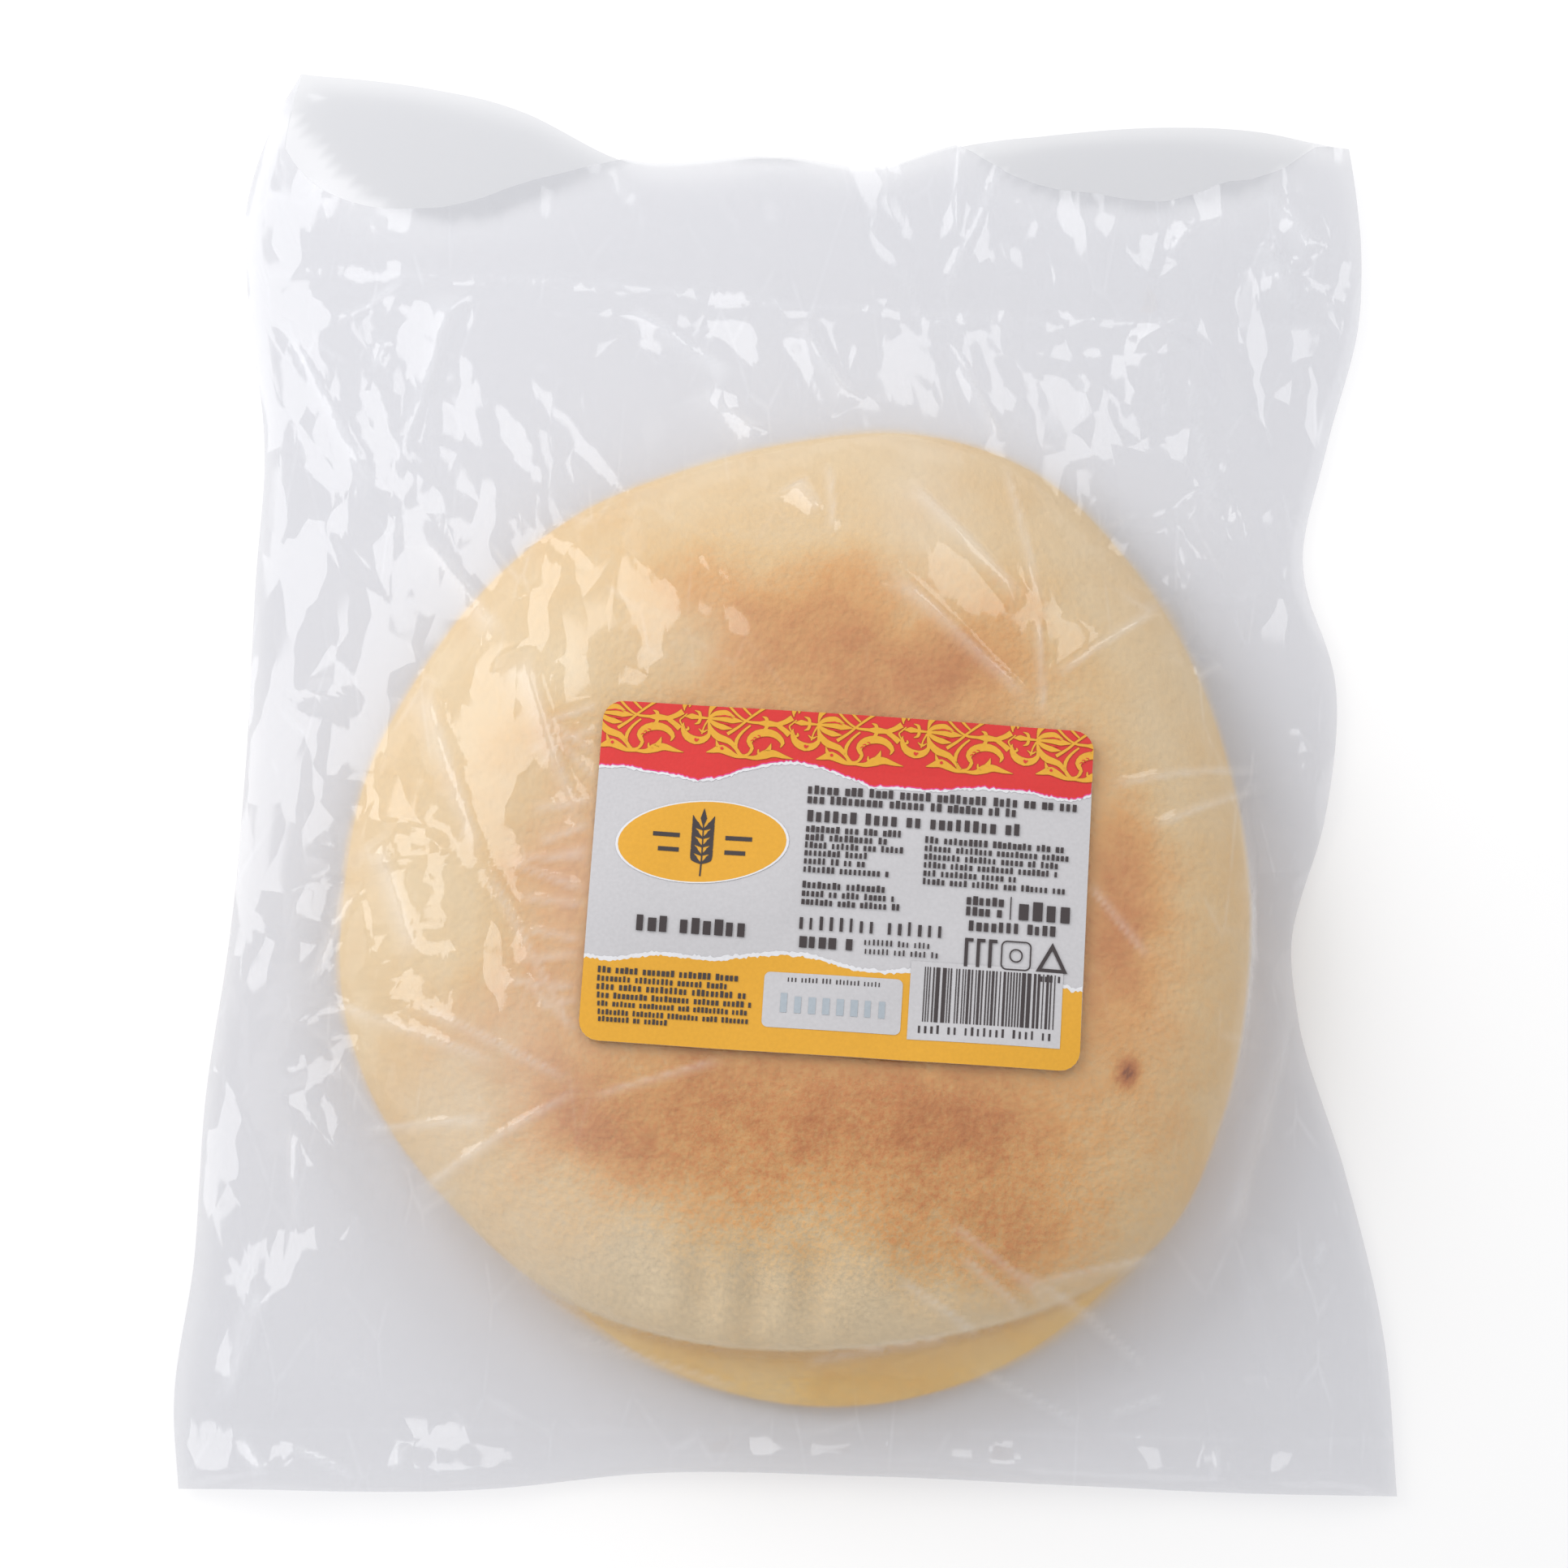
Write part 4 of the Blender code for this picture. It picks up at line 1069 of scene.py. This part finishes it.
# Black print: rows of short strokes in place of the small print, upright bars, three plain signs and
# a yellow oval with an ear of wheat. All is printed in brown-black ink, the stamp in thin grey ink.
BLACK = (0.045, 0.034, 0.036)
STAMP = (0.40, 0.45, 0.50)
ROWS = (
    (42.6, 97.5, 15.3, 17.1, 0.66), (42.6, 86.5, 17.4, 19.1, 0.66), (42.8, 86.5, 20.5, 22.9, 0.62),
    (42.7, 63.0, 23.7, 25.1, 0.62), (42.7, 60.0, 25.4, 26.8, 0.62), (42.7, 62.5, 27.1, 28.4, 0.58),
    (42.7, 55.5, 28.7, 30.0, 0.58), (42.7, 55.0, 30.4, 31.7, 0.58), (42.7, 60.0, 32.1, 33.4, 0.58),
    (42.7, 59.5, 35.2, 36.6, 0.62), (42.7, 61.5, 37.0, 38.3, 0.62), (42.7, 63.0, 38.7, 40.0, 0.62),
    (66.8, 95.0, 24.4, 25.8, 0.62), (66.8, 96.5, 26.2, 27.5, 0.58), (66.8, 94.5, 27.9, 29.2, 0.58),
    (66.8, 94.5, 29.6, 30.9, 0.58), (66.8, 86.0, 31.3, 32.6, 0.58), (66.8, 96.0, 33.0, 34.3, 0.58),
    (75.8, 84.0, 36.0, 37.8, 0.66), (75.8, 84.0, 38.2, 40.0, 0.66), (86.4, 97.0, 36.3, 40.2, 0.62),
    (76.5, 95.2, 41.0, 43.1, 0.62), (42.6, 71.5, 42.2, 45.0, 0.30), (42.8, 55.0, 46.0, 48.7, 0.68),
    (55.8, 70.0, 46.2, 47.4, 0.40), (56.0, 71.3, 48.0, 49.2, 0.40), (10.0, 33.5, 44.2, 47.4, 0.66),
    (3.0, 31.5, 55.0, 56.3, 0.64), (3.0, 29.0, 56.8, 58.0, 0.60), (3.0, 33.0, 58.4, 59.7, 0.60),
    (3.2, 34.7, 60.2, 61.4, 0.62), (3.4, 33.5, 61.9, 63.0, 0.60), (3.6, 34.7, 63.6, 64.7, 0.60),
    (3.8, 18.0, 65.0, 66.1, 0.60), (41.0, 60.0, 54.7, 55.7, 0.36), (91.3, 95.7, 51.2, 52.5, 0.55),
    (67.5, 95.0, 62.6, 64.3, 0.34),
)
OVAL = (22.0, 28.5, 17.0, 8.3, -5.0)
GRAINS = 5


def bar(left, top, right, low):
    """Outline of one upright bar."""
    return [(left, top), (right, top), (right, low), (left, low)]


def print_row(left, right, top, low, weight, seed):
    """A row of upright strokes in groups, where a line of small print would be."""
    random = np.random.RandomState(seed)
    pitch = 0.72 * (low - top)
    strokes, at, group = [], left, random.randint(3, 9)
    while at + pitch * weight < right:
        if group == 0:
            group = random.randint(2, 10)
            at += 0.8 * pitch
            continue
        high = top if random.uniform() < 0.35 else top + 0.15 * (low - top)
        wide = pitch * min(weight * random.uniform(0.85, 1.20), 0.82)
        strokes.append(bar(at, high, at + wide, low))
        at += pitch
        group -= 1
    return strokes


def frame_outline(outer, inner):
    """Two halves of a frame between two closed outlines that have the same number of points."""
    half = len(outer) // 2
    first = outer[:half + 1] + inner[:half + 1][::-1]
    second = outer[half:] + outer[:1] + (inner[half:] + inner[:1])[::-1]
    return [first, second]


def oval_outline(scale=1.0, steps=48):
    """Outline of the turned oval."""
    middle_u, middle_v, wide, tall, turn = OVAL
    turn = math.radians(turn)
    points = []
    for k in range(steps):
        a = 2 * math.pi * k / steps
        u, v = scale * wide * math.cos(a), scale * tall * math.sin(a)
        turned_u = u * math.cos(turn) - v * math.sin(turn)
        turned_v = u * math.sin(turn) + v * math.cos(turn)
        points.append((middle_u + turned_u, middle_v + turned_v))
    return points


black_ink = paper_material("brown-black ink on paper", BLACK)
stamp_ink = paper_material("grey stamp ink on paper", STAMP)
strokes = []
for number, row in enumerate(ROWS):
    strokes += print_row(*row, 200 + number)
strokes.append(bar(84.6, 35.6, 84.85, 40.3))

random = np.random.RandomState(91)
at = 68.2
while at < 94.3:
    wide = random.choice((0.22, 0.30, 0.52, 0.80), p=(0.42, 0.3, 0.2, 0.08))
    strokes.append(bar(at, 51.0, at + wide, 62.0))
    at += wide + random.choice((0.28, 0.50, 0.80), p=(0.55, 0.3, 0.15))

for left in (75.9, 78.3, 80.7):
    strokes.append(bar(left, 44.6, left + 0.7, 50.4))
    strokes.append(bar(left + 0.7, 44.6, left + 1.7, 45.3))
strokes += frame_outline(rounded_box(83.2, 44.6, 89.3, 50.6, 1.2), rounded_box(83.5, 44.9, 89.0, 50.3, 0.9))
strokes += frame_outline(rounded_box(84.9, 46.2, 87.6, 49.0, 1.3), rounded_box(85.2, 46.5, 87.3, 48.7, 1.0))
outer_sign = [(93.5, 44.4), (90.3, 50.5), (96.7, 50.5)]
inner_sign = [(93.5, 46.0), (91.5, 49.8), (95.5, 49.8)]
for k in range(3):
    following = (k + 1) % 3
    strokes.append([outer_sign[k], outer_sign[following], inner_sign[following], inner_sign[k]])

ear = [pen_stroke(((22.0, 35.6, 0.35), (22.1, 31.0, 0.30), (22.0, 24.0, 0.25)))]
ear.append(pen_stroke(((22.0, 25.2, 0.2), (22.0, 23.6, 1.3), (22.0, 21.6, 0.1))))
for k in range(GRAINS):
    foot = 33.0 - 1.75 * k
    for side in (-1, 1):
        belly, tip = 22.0 + side * 1.5, 22.0 + side * 2.2
        ear.append(pen_stroke(((22.0, foot, 0.3), (belly, foot - 1.1, 1.35), (tip, foot - 2.9, 0.1))))
for side in (-1, 1):
    for row in range(2):
        reach = 5.4 - 1.2 * row
        start, end, down = 22 + side * 4.6, 22 + side * (4.6 + reach), 27.4 + 3 * row
        ear.append(pen_stroke(((start, down, 0.9), (end, down, 0.9))))

lay_on_label("oval", [oval_outline()], 3, yellow_ink)
lay_on_label("oval_line", frame_outline(oval_outline(1.03), oval_outline(1.0)), 3, pale_rim)
lay_on_label("black_print", strokes, 7, black_ink)
lay_on_label("wheat_ear", ear, 5, black_ink, rise=RISE)
stamp = print_row(39.8, 62.3, 58.0, 61.9, 0.5, 301)
lay_on_label("date_stamp", stamp, 7, stamp_ink)

# Table, light and camera: a pale table, a broad soft lamp from the left, a weak one from behind on
# the right, and a camera above the front edge that looks down on the bag.
CAMERA_TARGET = Vector((-0.00125, -0.00615, 0.0))
CAMERA_HEIGHT_ANGLE = math.radians(77.0)
CAMERA_DISTANCE = 0.75
CAMERA_LENS = 80.85
bpy.ops.object.select_all(action="DESELECT")
bpy.ops.mesh.primitive_plane_add(size=4.0)
table = bpy.context.object
table.name = "table"
node, finish = new_material("pale table")
table.data.materials.append(finish(node("BsdfDiffuse", None, Color=(0.98, 0.98, 0.985))))


def soft_lamp(name, size, distance, turn, height, power):
    """A square lamp that faces the bag from the given side and height, in degrees."""
    turn, height = math.radians(turn), math.radians(height)
    away = Vector((math.cos(height) * math.cos(turn), math.cos(height) * math.sin(turn), math.sin(height)))
    bpy.ops.object.light_add(type="AREA", location=away * distance)
    lamp = bpy.context.object
    lamp.name = name
    lamp.data.shape = "SQUARE"
    lamp.data.size = size
    lamp.data.energy = power
    lamp.rotation_euler = away.to_track_quat("Z", "Y").to_euler()


soft_lamp("window_lamp", size=0.74, distance=0.95, turn=148.0, height=35.0, power=5.3)
soft_lamp("back_lamp", size=0.45, distance=1.1, turn=62.0, height=42.0, power=1.6)
world = bpy.data.worlds.new("studio")
bpy.context.scene.world = world
world.use_nodes = True
sky = world.node_tree.nodes["Background"].inputs
sky["Color"].default_value = (1.0, 1.0, 1.0, 1.0)
sky["Strength"].default_value = 0.74
bpy.context.scene.view_settings.view_transform = "Standard"

look = Vector((0, -math.cos(CAMERA_HEIGHT_ANGLE), math.sin(CAMERA_HEIGHT_ANGLE)))
bpy.ops.object.camera_add(location=CAMERA_TARGET + look * CAMERA_DISTANCE)
camera = bpy.context.object
camera.rotation_euler = look.to_track_quat("Z", "Y").to_euler()
camera.data.lens = CAMERA_LENS
camera.data.sensor_width = 36.0
camera.data.clip_start = 0.01
bpy.context.scene.camera = camera
